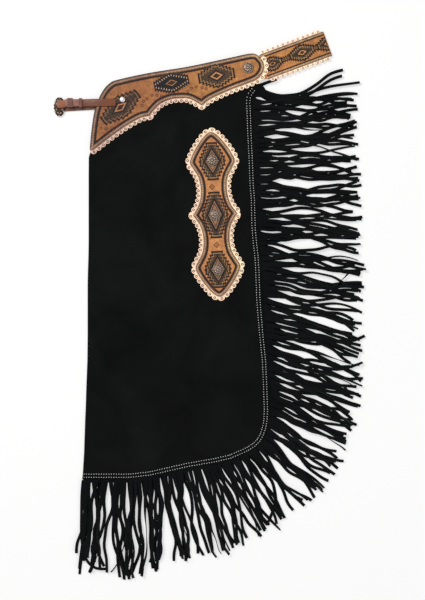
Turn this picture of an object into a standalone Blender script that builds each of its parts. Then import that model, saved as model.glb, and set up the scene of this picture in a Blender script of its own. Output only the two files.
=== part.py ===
"""Fringed leather chaps, laid flat and folded in half, one leg exactly on the other.

Metres, +Z up. The folded garment lies on the plane z = 0, its waist towards +Y and its
fringed side towards +X. The origin is the middle of its outline, on that plane.
Sizes and tables below are in millimetres and are scaled once, where a shape is made.
"""

import math
import random
from collections import namedtuple

import bmesh
import bpy
from mathutils import Vector

MM = 0.001

# Thicknesses of the leathers, and the clearance between two pieces that touch.
TOOLED = 2.4
LOWER_TOOLED = 2.3
SUEDE = 1.8
TRIM = 1.0
BELTING = 1.8
STRAP = 2.2
GAP = 0.3

# Heights of the stack where a yoke or an overlay lies above and below the legs.
LEG_RISE = 2.9
LEG_CLEARANCE = 0.4
LEG_STEP = SUEDE + LEG_CLEARANCE
LOWER_TRIM_Z = 0.2
UPPER_TRIM_Z = LEG_RISE + LEG_STEP + SUEDE + GAP
UPPER_TOOLED_Z = UPPER_TRIM_Z + TRIM + GAP
UPPER_TOP_Z = UPPER_TOOLED_Z + TOOLED

# How the legs come down round a yoke or overlay: level for the rim, then a slope.
RIM = 12.0
SLOPE = 22.0

# One row for each section of a leg panel: its height up the garment, and its two ends.
Section = namedtuple("Section", "y left right")
LEG_SECTIONS = (
    Section(486, 42, 58),
    Section(480, 14, 58),
    Section(469, -39, 58),
    Section(459, -113, 58),
    Section(451, -144, 62),
    Section(445, -169, 91),
    Section(437, -189, 110),
    Section(427, -199, 96),
    Section(415, -208, 87),
    Section(402, -213, 86),
    Section(388, -219, 87),
    Section(371, -224, 87.5),
    Section(353, -227, 88),
    Section(333, -230, 89),
    Section(311, -232.5, 90),
    Section(296, -239, 91),
    Section(265, -239.5, 92),
    Section(239, -239.5, 93),
    Section(211, -239.5, 95.5),
    Section(183, -239.5, 96),
    Section(153, -239.5, 97),
    Section(123, -239.5, 99.5),
    Section(93, -240, 103),
    Section(65, -241, 104.5),
    Section(37, -241.5, 105.5),
    Section(9, -241.5, 106.5),
    Section(-23, -241.5, 109),
    Section(-63, -241.5, 112.5),
    Section(-111, -242, 117.5),
    Section(-163, -244, 120),
    Section(-211, -245.5, 121.5),
    Section(-231, -246.5, 120.8),
    Section(-248, -247, 118),
    Section(-263, -247.5, 113),
    Section(-276.5, -248, 105.5),
    Section(-287, -248.3, 95),
    Section(-295.5, -248.6, 82),
    Section(-303, -249, 66),
    Section(-312, -249.5, 45),
    Section(-320, -250, 10),
    Section(-328, -250.5, -38),
    Section(-337, -251, -78),
    Section(-346, -252, -118),
    Section(-350.5, -252.5, -157),
)
# Where the columns stand across a section, as shares of its width.
LEG_COLUMNS = (0.0, 0.11, 0.24, 0.36, 0.46, 0.53, 0.59, 0.67, 0.75, 0.83, 0.89, 0.945, 1.0)
LOWER_LEG_SHIFT = -1.4

# Soft ridges in the upper leg: two ends, height, and half width.
Fold = namedtuple("Fold", "x0 y0 x1 y1 height width")
FOLDS = (
    Fold(-205, 130, -150, 10, 2.6, 24),
    Fold(-100, 285, -72, 165, 2.0, 20),
    Fold(-165, 300, -60, 345, 2.0, 18),
    Fold(-100, -8, 60, -2, 2.4, 16),
    Fold(-222, -50, -150, -30, 1.8, 18),
    Fold(-135, -150, -112, -270, 2.4, 22),
    Fold(-60, -205, 40, -225, 2.0, 18),
    Fold(-10, -95, 85, -60, 2.0, 20),
    Fold(-200, -300, -70, -310, 1.8, 18),
)
FOLD_CLEAR = 8.0
FOLD_FADE = 26.0

# The yoke's outline, from its front lower corner along the lower edge and back.
Point = namedtuple("Point", "x y corner", defaults=(False,))
YOKE_OUTLINE = (
    Point(-237, 308, True),
    Point(-228, 312),
    Point(-198, 335),
    Point(-168, 356),
    Point(-138, 373),
    Point(-118, 378, True),
    Point(-113, 386),
    Point(-98, 401),
    Point(-78, 410),
    Point(-60, 412.5),
    Point(-38, 411),
    Point(-14, 398, True),
    Point(3, 411),
    Point(42, 429),
    Point(82, 444),
    Point(98, 452),
    Point(108, 465),
    Point(110, 479),
    Point(103, 492),
    Point(88, 500),
    Point(42, 491),
    Point(-38, 474),
    Point(-118, 461),
    Point(-178, 448),
    Point(-196, 441),
    Point(-212, 423),
    Point(-226, 390),
    Point(-233, 349),
)
YOKE_TRIM_LAST = 18
YOKE_STEPS = 2
LOWER_YOKE_SHIFT = (-1.8, 2.6)

# A quarter of the overlay's outline, from its top point to the tip at mid-height.
Station = namedtuple("Station", "along half_width corner", defaults=(False,))
OVERLAY_QUARTER = (
    Station(164.5, 0),
    Station(158, 12),
    Station(144, 24),
    Station(126, 36),
    Station(106, 44.5),
    Station(90, 37),
    Station(76, 29.5),
    Station(58, 25.8),
    Station(38, 26.5),
    Station(19, 32),
    Station(0, 44, True),
)
OVERLAY_STEPS = 2
OVERLAY_CENTRE = (12.5, 180)
OVERLAY_TURN = math.radians(3.06)
CONCHO_PLACES = (("concho_top", 107.5), ("concho_middle", -1.5), ("concho_bottom", -111.5))

# Scalloped trim: how far its valleys stand out, and the depth and pitch of a scallop.
Scallop = namedtuple("Scallop", "valley depth pitch points")
YOKE_SCALLOP = Scallop(4.0, 5.5, 11.0, 4)
OVERLAY_SCALLOP = Scallop(4.0, 5.5, 10.8, 3)
BELT_SCALLOP = Scallop(2.4, 4.4, 10.4, 3)
TRIM_TUCK = 2.5
# The lower trims are plain strips, drawn in from the tips of the scallops.
PLAIN_TRIM_INSET = 1.0
PLAIN_TRIM_GAP = 0.6

# The belt: from under the yokes to the fold at the middle of the back.
BELT_START = (109.4, 474.6)
BELT_TURN = math.radians(20.3)
BELT_HALF_WIDTH = 25.7
BELT_TAB = ((-34, 8), (-20, 14), (-8, 22), (4, BELT_HALF_WIDTH))
BELT_BEND_U = 4.0
BELT_FOLD_U = 135.0
BELT_LOWER_Z = (3.8, 1.25)
BELT_UPPER_Z = (6.0, 4.65)
BELT_FOLD_STEPS = 6
BELT_TRIM_SHORT = 3.0

# Fringe: a row for each place along the edge, from the waist end round to the hem.
Lay = namedtuple("Lay", "along angle length")
FRINGE_LAY = (
    Lay(0, 7, 186),
    Lay(40, 2, 198),
    Lay(160, 0, 198),
    Lay(280, -3, 200),
    Lay(360, -8, 200),
    Lay(440, -14, 194),
    Lay(520, -18, 194),
    Lay(600, -22, 182),
    Lay(665, -28, 166),
    Lay(700, -36, 150),
    Lay(735, -44, 142),
    Lay(770, -52, 146),
    Lay(810, -61, 164),
    Lay(860, -72, 178),
    Lay(920, -81, 182),
    Lay(990, -88, 190),
    Lay(1045, -91, 198),
    Lay(1100, -94, 164),
)
FRINGE_TOP_Y = 437
HEADING_GAP = 0.6
HEADING_WIDTH = 6.0
HEADING_THICK = 1.2
STRAND_PITCH = 13.0
STRAND_WIDTH = 6.0
STRAND_THICK = 0.9
# A strand's sections: how far along it, and how much of the sway and stray it takes.
Reach = namedtuple("Reach", "share sway stray")
STRAND_REACHES = (
    Reach(0.30, 0.0, 0.0),
    Reach(0.55, 1.0, 0.6),
    Reach(0.80, 0.1, 1.0),
    Reach(1.00, -1.0, 0.5),
)
SWAY = 8.0
SWAY_WAVE = 150.0
STRAY_ANGLE = math.radians(1.7)
STRAY = 6.0
STRAY_LENGTH = 8.0
NORMAL_SPAN = 9.0
HEADING_START = 0.5
# Each leg's fringe: the height of its heading, and of its two layers of strands.
FringeLevel = namedtuple("FringeLevel", "leg heading strands first seed")
FRINGE_LEVELS = (
    FringeLevel("lower", 0.3, (0.3, 1.5), 4.0, 11),
    FringeLevel("upper", 2.7, (2.7, 3.9), 10.5, 23),
)
# The runs that the fringe is cut in, by how many strands each has.
FRINGE_RUNS = (("side", 50), ("corner", 14), ("hem", 20))

# The front strap, its buckle and keepers.
STRAP_WIDTH = 15.0
STRAP_END_WIDTH = 14.4
STRAP_Y = 403.0
BUCKLE_CENTRE = (-299.0, 395.5)
BUCKLE_HALF = (10.2, 18.4)
BUCKLE_HOLE = (4.6, 11.0)
BUCKLE_HOLE_POINTS = 16
BUCKLE_LOBES = 18
BUCKLE_LOBE = 1.6
BUCKLE_Z = 2.8
BUCKLE_THICK = 3.0
KEEPER_WALL = 1.2
KEEPERS = (("keeper_wide", -277.5, 11.0), ("keeper_narrow", -256.5, 5.5))
ON_YOKE = UPPER_TOP_Z + GAP
ON_BUCKLE = BUCKLE_Z + BUCKLE_THICK + GAP
ON_STRAP = ON_BUCKLE + STRAP + GAP
# Stations of each strap: x, how far its middle lies off STRAP_Y, and its underside.
StrapStation = namedtuple("StrapStation", "x aside z")
STRAP_UPPER = (
    StrapStation(-304, -3.5, ON_BUCKLE),
    StrapStation(-292, -2.5, ON_BUCKLE),
    StrapStation(-284, 0, ON_BUCKLE),
    StrapStation(-250, 0, ON_BUCKLE),
    StrapStation(-236, 0, ON_BUCKLE + 2.6),
    StrapStation(-228, 0, ON_YOKE),
    StrapStation(-186, 0, ON_YOKE),
)
STRAP_LOWER = (
    StrapStation(-303, -10, GAP),
    StrapStation(-262, -7.5, GAP),
    StrapStation(-246, -6.6, GAP + 0.4),
    StrapStation(-229, -5.6, TOOLED + GAP),
    StrapStation(-219.5, -5.2, TOOLED + GAP),
)
STRAP_END = (
    StrapStation(-288, 0, ON_STRAP),
    StrapStation(-252.5, 0, ON_STRAP),
)

# Domed metal: a turned profile, as shares of the radius and of the height.
Turned = namedtuple("Turned", "radius height")
DOME_PROFILE = (
    Turned(0.0, 0.0),
    Turned(1.0, 0.0),
    Turned(1.0, 0.35),
    Turned(0.82, 0.525),
    Turned(0.5, 1.0),
    Turned(0.0, 1.0),
)
DOME_STEPS = 12
CONCHO_RADIUS = 11.5
CONCHO_HEIGHT = 4.0
SNAP_RADIUS = 11.0
SNAP_PLACE = (78.5, 472.5)
RIVET_PLACE = (-172.5, 409.0)
RIVET_RADIUS = 5.4
RIVET_HEIGHT = 2.2

Finish = namedtuple("Finish", "colour roughness metallic")
FINISHES = {
    "suede": Finish((0.006, 0.006, 0.0065, 1), 0.95, 0.0),
    "tooled": Finish((0.40, 0.19, 0.085, 1), 0.5, 0.0),
    "trim": Finish((0.62, 0.48, 0.33, 1), 0.65, 0.0),
    "strap": Finish((0.24, 0.09, 0.05, 1), 0.45, 0.0),
    "silver": Finish((0.42, 0.39, 0.35, 1), 0.35, 1.0),
    "nickel": Finish((0.85, 0.84, 0.82, 1), 0.2, 1.0),
}


def clear_scene():
    for obj in list(bpy.data.objects):
        bpy.data.objects.remove(obj, do_unlink=True)


def new_collection(name):
    collection = bpy.data.collections.new(name)
    bpy.context.scene.collection.children.link(collection)
    return collection


def finish_of(name, kind):
    finish = FINISHES[kind]
    material = bpy.data.materials.new(name + "_" + kind)
    material.use_nodes = True
    shader = material.node_tree.nodes["Principled BSDF"]
    shader.inputs["Base Color"].default_value = finish.colour
    shader.inputs["Roughness"].default_value = finish.roughness
    shader.inputs["Metallic"].default_value = finish.metallic
    material.diffuse_color = finish.colour
    return material


def add_object(name, data, kind):
    obj = bpy.data.objects.new(name, data)
    data.materials.append(finish_of(name, kind))
    chaps.objects.link(obj)
    return obj


def add_mesh(name, bm, kind):
    """Turns a bmesh in millimetres into an object in metres."""
    bmesh.ops.recalc_face_normals(bm, faces=bm.faces)
    bmesh.ops.scale(bm, vec=(MM, MM, MM), verts=bm.verts)
    data = bpy.data.meshes.new(name)
    bm.to_mesh(data)
    bm.free()
    return add_object(name, data, kind)


def smooth(t):
    t = min(max(t, 0.0), 1.0)
    return t * t * (3.0 - 2.0 * t)


def lookup(rows, value):
    """Reads the other columns of a table at a value of its first column."""
    if value <= rows[0][0]:
        return rows[0][1:]
    for low, high in zip(rows, rows[1:]):
        if value <= high[0]:
            share = (value - low[0]) / (high[0] - low[0])
            return tuple(a + (b - a) * share for a, b in zip(low[1:], high[1:]))
    return rows[-1][1:]


def curve_through(rows, steps):
    """A closed smooth curve through the rows, with a sharp turn at each corner."""
    count = len(rows)
    found = []
    for i in range(count):
        before, start, end, after = (rows[(i + k) % count] for k in (-1, 0, 1, 2))
        p0, p1, p2, p3 = (Vector((row.x, row.y)) for row in (before, start, end, after))
        leave = p2 - p1 if start.corner else (p2 - p0) / 2
        arrive = p2 - p1 if end.corner else (p3 - p1) / 2
        for k in range(steps):
            t = k / steps
            found.append(
                p1 * (2 * t**3 - 3 * t**2 + 1)
                + leave * (t**3 - 2 * t**2 + t)
                + p2 * (3 * t**2 - 2 * t**3)
                + arrive * (t**3 - t**2)
            )
    return found


class Path:
    """A run of points that is read by the distance along it, with an outward side."""

    def __init__(self, points, side=1):
        self.points = [Vector(p) for p in points]
        self.side = side
        self.stops = [0.0]
        for a, b in zip(self.points, self.points[1:]):
            self.stops.append(self.stops[-1] + (b - a).length)
        self.length = self.stops[-1]

    def at(self, along):
        along = min(max(along, 0.0), self.length)
        for i in range(1, len(self.stops)):
            if along <= self.stops[i]:
                break
        span = self.stops[i] - self.stops[i - 1]
        return self.points[i - 1].lerp(self.points[i], (along - self.stops[i - 1]) / span)

    def outward(self, along, span):
        """The direction away from the piece, evened out over a span of the path."""
        step = self.at(along + span / 2) - self.at(along - span / 2)
        return Vector((step.y, -step.x)).normalized() * self.side

    def offset(self, along, away, span=6.0):
        return self.at(along) + self.outward(along, span) * away


def scalloped_edge(path, scallop):
    """Half-round scallops along a path, from one valley to the next."""
    count = round(path.length / scallop.pitch)
    pitch = path.length / count
    edge = []
    for i in range(count):
        for k in range(scallop.points):
            turn = math.pi * k / scallop.points
            along = (i + (1 - math.cos(turn)) / 2) * pitch
            edge.append(path.offset(along, scallop.valley + scallop.depth * math.sin(turn)))
    return edge


def scalloped_run(path, scallop):
    """An open run of scallops, closed off with its last valley."""
    return scalloped_edge(path, scallop) + [path.offset(path.length, scallop.valley)]


def outside_distance(x, y, outline):
    """How far a point lies outside an outline, or nothing where it lies inside."""
    point = Vector((x, y))
    inside = False
    nearest = math.inf
    for a, b in zip(outline, outline[1:] + outline[:1]):
        if (a.y > y) != (b.y > y) and x < a.x + (y - a.y) * (b.x - a.x) / (b.y - a.y):
            inside = not inside
        run = b - a
        share = min(max((point - a).dot(run) / run.length_squared, 0.0), 1.0)
        nearest = min(nearest, (point - a - run * share).length)
    return 0.0 if inside else nearest


def flat_plate(name, outlines, bottom, thickness, kind):
    """A flat piece cut to one outline, with a hole for each further outline."""
    data = bpy.data.curves.new(name, "CURVE")
    data.dimensions = "2D"
    data.fill_mode = "BOTH"
    data.extrude = thickness / 2 * MM
    for outline in outlines:
        spline = data.splines.new("POLY")
        spline.points.add(len(outline) - 1)
        for point, place in zip(spline.points, outline):
            point.co = (place[0] * MM, place[1] * MM, 0, 1)
        spline.use_cyclic_u = True
    obj = add_object(name, data, kind)
    obj.location.z = (bottom + thickness / 2) * MM
    return obj


def overlay_outline():
    """The whole outline of an overlay, upright about its own centre."""
    quarter = OVERLAY_QUARTER
    right = [Point(s.half_width, s.along, s.corner) for s in quarter]
    lower = [Point(s.half_width, -s.along, s.corner) for s in quarter[-2::-1]]
    left_lower = [Point(-s.half_width, -s.along, s.corner) for s in quarter[1:]]
    left_upper = [Point(-s.half_width, s.along, s.corner) for s in quarter[-2:0:-1]]
    return curve_through((right + lower + left_lower + left_upper)[::-1], OVERLAY_STEPS)


def placed_overlay(points):
    turn_x = Vector((math.cos(OVERLAY_TURN), math.sin(OVERLAY_TURN)))
    turn_y = Vector((-turn_x.y, turn_x.x))
    return [Vector(OVERLAY_CENTRE) + turn_x * p.x + turn_y * p.y for p in points]


def leg_height(x, y):
    """How high the legs are lifted by the yoke and the overlay under them."""
    near = min(outside_distance(x, y, yoke_curve), outside_distance(x, y, overlay_curve))
    return LEG_RISE * (1 - smooth((near - RIM) / SLOPE))


def fold_height(x, y):
    """The ridges in the upper leg, none near a tooled piece or the fringed edge."""
    near = min(outside_distance(x, y, yoke_curve), outside_distance(x, y, overlay_curve))
    clear = smooth((near - FOLD_CLEAR) / FOLD_FADE)
    edge = min((Vector((x, y)) - p).length for p in fringe_edge.points)
    clear *= smooth((edge - FOLD_CLEAR) / FOLD_FADE)
    total = 0.0
    for fold in FOLDS:
        start = Vector((fold.x0, fold.y0))
        run = Vector((fold.x1, fold.y1)) - start
        share = (Vector((x, y)) - start).dot(run) / run.length_squared
        share = min(max(share, 0.0), 1.0)
        away = (Vector((x, y)) - start - run * share).length
        total = max(total, fold.height * math.exp(-((away / fold.width) ** 2)))
    return total * clear


def make_leg(name, base, folded, shift):
    """A suede panel lofted through its sections, then given its thickness."""
    columns = len(LEG_COLUMNS) - 1
    rows = len(LEG_SECTIONS) - 1
    bm = bmesh.new()
    bmesh.ops.create_grid(bm, x_segments=columns, y_segments=rows, size=0.5)
    for vert in bm.verts:
        share = LEG_COLUMNS[round((vert.co.x + 0.5) * columns)]
        section = LEG_SECTIONS[round((0.5 - vert.co.y) * rows)]
        x = section.left + (section.right - section.left) * share
        z = base + leg_height(x, section.y)
        if folded:
            z += fold_height(x, section.y)
        if share == 0.0:
            x += shift
        vert.co = (x, section.y, z)
    top = bmesh.ops.extrude_face_region(bm, geom=bm.faces[:])
    raised = [part for part in top["geom"] if isinstance(part, bmesh.types.BMVert)]
    bmesh.ops.translate(bm, vec=(0, 0, SUEDE), verts=raised)
    add_mesh(name, bm, "suede")


def make_legs():
    make_leg("leg_lower", 0.0, False, LOWER_LEG_SHIFT)
    make_leg("leg_upper", LEG_STEP, True, 0.0)


def make_yokes():
    flat_plate("yoke_upper", [yoke_curve], UPPER_TOOLED_Z, TOOLED, "tooled")
    lower = flat_plate("yoke_lower", [yoke_curve], 0.0, LOWER_TOOLED, "tooled")
    lower.location.x = LOWER_YOKE_SHIFT[0] * MM
    lower.location.y = LOWER_YOKE_SHIFT[1] * MM


def make_yoke_trims():
    """Upper: a scalloped strip under the edge. Lower: a plain strip beside the edge."""
    run = Path(yoke_curve[: YOKE_TRIM_LAST * YOKE_STEPS + 1])
    inner = [run.offset(run.stops[i], -TRIM_TUCK) for i in range(len(run.points) - 1, -1, -1)]
    outline = scalloped_run(run, YOKE_SCALLOP) + inner
    flat_plate("yoke_trim_upper", [outline], UPPER_TRIM_Z, TRIM, "trim")
    shifted = Path([p + Vector(LOWER_YOKE_SHIFT) for p in run.points])
    outer = YOKE_SCALLOP.valley + YOKE_SCALLOP.depth - PLAIN_TRIM_INSET
    near = [shifted.offset(s, PLAIN_TRIM_GAP) for s in reversed(shifted.stops)]
    far = [shifted.offset(s, outer) for s in shifted.stops]
    flat_plate("yoke_trim_lower", [far + near], LOWER_TRIM_Z, TRIM, "trim")


def make_overlays():
    upright = overlay_outline()
    pieces = [
        flat_plate("overlay_upper", [upright], UPPER_TOOLED_Z, TOOLED, "tooled"),
        flat_plate("overlay_lower", [upright], 0.0, LOWER_TOOLED, "tooled"),
    ]
    closed = Path(upright + upright[:1])
    edge = scalloped_edge(closed, OVERLAY_SCALLOP)
    pieces.append(flat_plate("overlay_trim_upper", [edge], UPPER_TRIM_Z, TRIM, "trim"))
    outer = OVERLAY_SCALLOP.valley + OVERLAY_SCALLOP.depth - PLAIN_TRIM_INSET
    rings = [[closed.offset(s, away) for s in closed.stops[:-1]] for away in (outer, PLAIN_TRIM_GAP)]
    pieces.append(flat_plate("overlay_trim_lower", rings, LOWER_TRIM_Z, TRIM, "trim"))
    for piece in pieces:
        piece.location.x = OVERLAY_CENTRE[0] * MM
        piece.location.y = OVERLAY_CENTRE[1] * MM
        piece.rotation_euler.z = OVERLAY_TURN


def belt_centre_line():
    """The belt's middle, as distances along it and heights: out, round the fold, back."""
    out = [(u, BELT_LOWER_Z[0]) for u, _ in BELT_TAB]
    back = [(u, BELT_UPPER_Z[0]) for u, _ in reversed(BELT_TAB)]
    middle = (BELT_LOWER_Z[1] + BELT_UPPER_Z[1]) / 2
    radius = (BELT_UPPER_Z[1] - BELT_LOWER_Z[1]) / 2
    for k in range(BELT_FOLD_STEPS + 1):
        turn = math.pi * k / BELT_FOLD_STEPS
        out.append((BELT_FOLD_U + radius * math.sin(turn), middle - radius * math.cos(turn)))
    return out + back


def make_belt(line):
    stations = belt_centre_line()
    bm = bmesh.new()
    bmesh.ops.create_grid(bm, x_segments=len(stations) - 1, y_segments=1, size=0.5)
    for vert in bm.verts:
        u, z = stations[round((vert.co.x + 0.5) * (len(stations) - 1))]
        half_width = lookup(BELT_TAB, u)[0]
        vert.co = (u, math.copysign(half_width, vert.co.y), z)
    belt = add_mesh("belt", bm, "tooled")
    wall = belt.modifiers.new("wall", "SOLIDIFY")
    wall.thickness = BELTING * MM
    wall.offset = 0.0
    wall.use_even_offset = True
    belt.parent = line


def make_belt_trims(line):
    """Four scalloped strips, one along each edge of each half of the belt."""
    run = Path([(0, 0), (BELT_FOLD_U - BELT_BEND_U - BELT_TRIM_SHORT, 0)])
    edge = scalloped_run(run, BELT_SCALLOP)
    strip = edge + [Vector((run.length, -GAP)), Vector((0, -GAP))]
    for half, (start, end) in (("lower", BELT_LOWER_Z), ("upper", BELT_UPPER_Z)):
        slope = math.atan2(start - end, BELT_FOLD_U - BELT_BEND_U)
        for side, sign in (("low", 1), ("high", -1)):
            outline = [(p.x, sign * (p.y - BELT_HALF_WIDTH)) for p in strip]
            trim = flat_plate("belt_trim_%s_%s" % (side, half), [outline], 0, TRIM, "trim")
            trim.location = (BELT_BEND_U * MM, 0, start * MM)
            trim.rotation_euler.y = slope
            trim.parent = line


def make_dome(name, radius, height, place, kind):
    """A low dome with a rolled rim, turned about its own axis."""
    bm = bmesh.new()
    made = [bm.verts.new((t.radius * radius, 0, t.height * height)) for t in DOME_PROFILE]
    edges = [bm.edges.new(pair) for pair in zip(made, made[1:])]
    bmesh.ops.spin(
        bm,
        geom=made + edges,
        cent=(0, 0, 0),
        axis=(0, 0, 1),
        angle=math.tau,
        steps=DOME_STEPS,
        use_merge=True,
    )
    bmesh.ops.remove_doubles(bm, verts=bm.verts, dist=0.001)
    dome = add_mesh(name, bm, kind)
    dome.location = (place[0] * MM, place[1] * MM, ON_YOKE * MM)


def make_hardware():
    for name, along in CONCHO_PLACES:
        place = placed_overlay([Vector((0, along))])[0]
        make_dome(name, CONCHO_RADIUS, CONCHO_HEIGHT, place, "silver")
    make_dome("yoke_snap", SNAP_RADIUS, CONCHO_HEIGHT, SNAP_PLACE, "silver")
    make_dome("yoke_rivet", RIVET_RADIUS, RIVET_HEIGHT, RIVET_PLACE, "nickel")


def make_strap(name, stations, width):
    """A strap through its stations, then given its thickness."""
    bm = bmesh.new()
    bmesh.ops.create_grid(bm, x_segments=len(stations) - 1, y_segments=1, size=0.5)
    for vert in bm.verts:
        station = stations[round((vert.co.x + 0.5) * (len(stations) - 1))]
        y = STRAP_Y + station.aside + math.copysign(width / 2, vert.co.y)
        vert.co = (station.x, y, station.z)
    top = bmesh.ops.extrude_face_region(bm, geom=bm.faces[:])
    raised = [part for part in top["geom"] if isinstance(part, bmesh.types.BMVert)]
    bmesh.ops.translate(bm, vec=(0, 0, STRAP), verts=raised)
    add_mesh(name, bm, "strap")


def make_straps():
    make_strap("strap_upper", STRAP_UPPER, STRAP_WIDTH)
    make_strap("strap_lower", STRAP_LOWER, STRAP_WIDTH)
    make_strap("strap_end", STRAP_END, STRAP_END_WIDTH)


def make_buckle():
    """A lobed oval frame with an open middle."""
    outer = []
    for k in range(BUCKLE_LOBES * 2):
        turn = math.tau * k / (BUCKLE_LOBES * 2)
        grow = BUCKLE_LOBE if k % 2 else 0.0
        x = BUCKLE_CENTRE[0] + (BUCKLE_HALF[0] + grow) * math.cos(turn)
        outer.append((x, BUCKLE_CENTRE[1] + (BUCKLE_HALF[1] + grow) * math.sin(turn)))
    hole = []
    for k in range(BUCKLE_HOLE_POINTS):
        turn = math.tau * k / BUCKLE_HOLE_POINTS
        x = BUCKLE_CENTRE[0] + BUCKLE_HOLE[0] * math.cos(turn)
        hole.append((x, BUCKLE_CENTRE[1] + BUCKLE_HOLE[1] * math.sin(turn)))
    flat_plate("buckle_frame", [outer, hole], BUCKLE_Z, BUCKLE_THICK, "silver")


def make_keepers():
    """Flat loops that hold the strap and its tucked end together."""
    low = BUCKLE_Z + BUCKLE_THICK
    high = low + STRAP * 2 + GAP * 3
    half = STRAP_WIDTH / 2 + GAP
    inner = [(low, -half), (high, -half), (high, half), (low, half)]
    outer = [
        (z + math.copysign(KEEPER_WALL, z - (low + high) / 2), y + math.copysign(KEEPER_WALL, y))
        for z, y in inner
    ]
    for name, x, width in KEEPERS:
        keeper = flat_plate(name, [outer, inner], 0, width, "strap")
        keeper.rotation_euler.y = -math.pi / 2
        keeper.location = (x * MM, STRAP_Y * MM, 0)


def strand_sections(along, under, draw):
    """The sections of one strand past its root: middle, across, and underside height."""
    root = fringe_edge.offset(along, HEADING_GAP + HEADING_WIDTH, NORMAL_SPAN)
    angle, length = lookup(FRINGE_LAY, along)
    angle = math.radians(angle) + draw.uniform(-STRAY_ANGLE, STRAY_ANGLE)
    length += draw.uniform(-STRAY_LENGTH, STRAY_LENGTH)
    ahead = Vector((math.cos(angle), math.sin(angle)))
    across = Vector((-ahead.y, ahead.x))
    sway = SWAY * math.sin(math.tau * along / SWAY_WAVE)
    stray = draw.uniform(-STRAY, STRAY)
    found = []
    for reach in STRAND_REACHES:
        aside = across * (sway * reach.sway + stray * reach.stray)
        found.append((root + ahead * (length * reach.share) + aside, across, under))
    return found


def root_face(bm, low, high, index):
    """The heading's outer face between two of its rows."""
    return bm.faces.get((low[index], low[index + 1], high[index + 1], high[index]))


def grow_strand(bm, face, bottom, top, sections):
    """Draws a strand out of its root face, one section after another."""
    roles = {bottom[0]: (0, 0), bottom[1]: (1, 0), top[0]: (0, 1), top[1]: (1, 1)}
    for middle, across, under in sections:
        places = {tuple(vert.co): role for vert, role in roles.items()}
        face = bmesh.ops.extrude_discrete_faces(bm, faces=[face])["faces"][0]
        roles = {vert: places[tuple(vert.co)] for vert in face.verts}
        for vert, (side, above) in roles.items():
            edge = middle + across * (STRAND_WIDTH * (0.5 - side))
            vert.co = (edge.x, edge.y, under + STRAND_THICK * above)


def make_fringe(level, name, first, count, draw):
    """A heading strip beside the leg's edge, with strands cut in its outer side."""
    places = [level.first + STRAND_PITCH * (first + i) for i in range(count)]
    half = STRAND_WIDTH / 2
    rows = [places[0] - STRAND_PITCH / 2 + GAP]
    for place in places:
        rows += [place - half, place + half]
    rows.append(places[-1] + STRAND_PITCH / 2 - GAP)
    rows[0] = max(rows[0], HEADING_START)
    rows[-1] = min(rows[-1], fringe_edge.length)
    bm = bmesh.new()
    bmesh.ops.create_grid(bm, x_segments=len(rows) - 1, y_segments=1, size=0.5)
    low = [None] * len(rows)
    for vert in bm.verts:
        index = round((vert.co.x + 0.5) * (len(rows) - 1))
        is_outer = vert.co.y > 0
        away = HEADING_GAP + (HEADING_WIDTH if is_outer else 0.0)
        place = fringe_edge.offset(rows[index], away, NORMAL_SPAN)
        vert.co = (place.x, place.y, level.heading)
        if is_outer:
            low[index] = vert
    made = bmesh.ops.extrude_face_region(bm, geom=bm.faces[:])
    raised = [part for part in made["geom"] if isinstance(part, bmesh.types.BMVert)]
    above = {tuple(vert.co): vert for vert in raised}
    high = [above[tuple(vert.co)] for vert in low]
    bmesh.ops.translate(bm, vec=(0, 0, HEADING_THICK), verts=raised)
    for i, place in enumerate(places):
        at = 2 * i + 1
        sections = strand_sections(place, level.strands[(first + i) % 2], draw)
        face = root_face(bm, low, high, at)
        grow_strand(bm, face, low[at : at + 2], high[at : at + 2], sections)
    add_mesh("fringe_%s_%s" % (name, level.leg), bm, "suede")


def make_fringes():
    for level in FRINGE_LEVELS:
        draw = random.Random(level.seed)
        first = 0
        for name, count in FRINGE_RUNS:
            make_fringe(level, name, first, count, draw)
            first += count


clear_scene()
chaps = new_collection("fringed_chaps")
guides = new_collection("guides")

yoke_curve = curve_through(YOKE_OUTLINE, YOKE_STEPS)
overlay_curve = placed_overlay(overlay_outline())
side_edge = [(s.right, s.y) for s in LEG_SECTIONS if s.y <= FRINGE_TOP_Y]
hem = LEG_SECTIONS[-1]
fringe_edge = Path(side_edge + [(hem.left, hem.y)], side=-1)

belt_line = bpy.data.objects.new("belt_line", None)
belt_line.location = (BELT_START[0] * MM, BELT_START[1] * MM, 0)
belt_line.rotation_euler.z = BELT_TURN
guides.objects.link(belt_line)

make_legs()
make_yokes()
make_yoke_trims()
make_overlays()
make_belt(belt_line)
make_belt_trims(belt_line)
make_hardware()
make_straps()
make_buckle()
make_keepers()
make_fringes()
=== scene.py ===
"""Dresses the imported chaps: suede legs and fringe, tooled yokes, overlays and belt,
scalloped trim, stitching, conchos, buckle and straps.

Sizes below are in millimetres, and each piece is scaled to metres when it is finished.
"""

import bisect
import math
import random
from collections import namedtuple

import bmesh
import bpy
import numpy as np
from mathutils import Matrix, Vector


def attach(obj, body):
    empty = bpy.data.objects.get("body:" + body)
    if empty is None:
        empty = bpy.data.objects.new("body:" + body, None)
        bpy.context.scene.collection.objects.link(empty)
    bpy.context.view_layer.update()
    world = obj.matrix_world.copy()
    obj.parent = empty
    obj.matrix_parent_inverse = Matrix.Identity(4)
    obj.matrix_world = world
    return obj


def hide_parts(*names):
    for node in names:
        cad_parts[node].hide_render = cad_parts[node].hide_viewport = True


MM = 0.001

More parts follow.
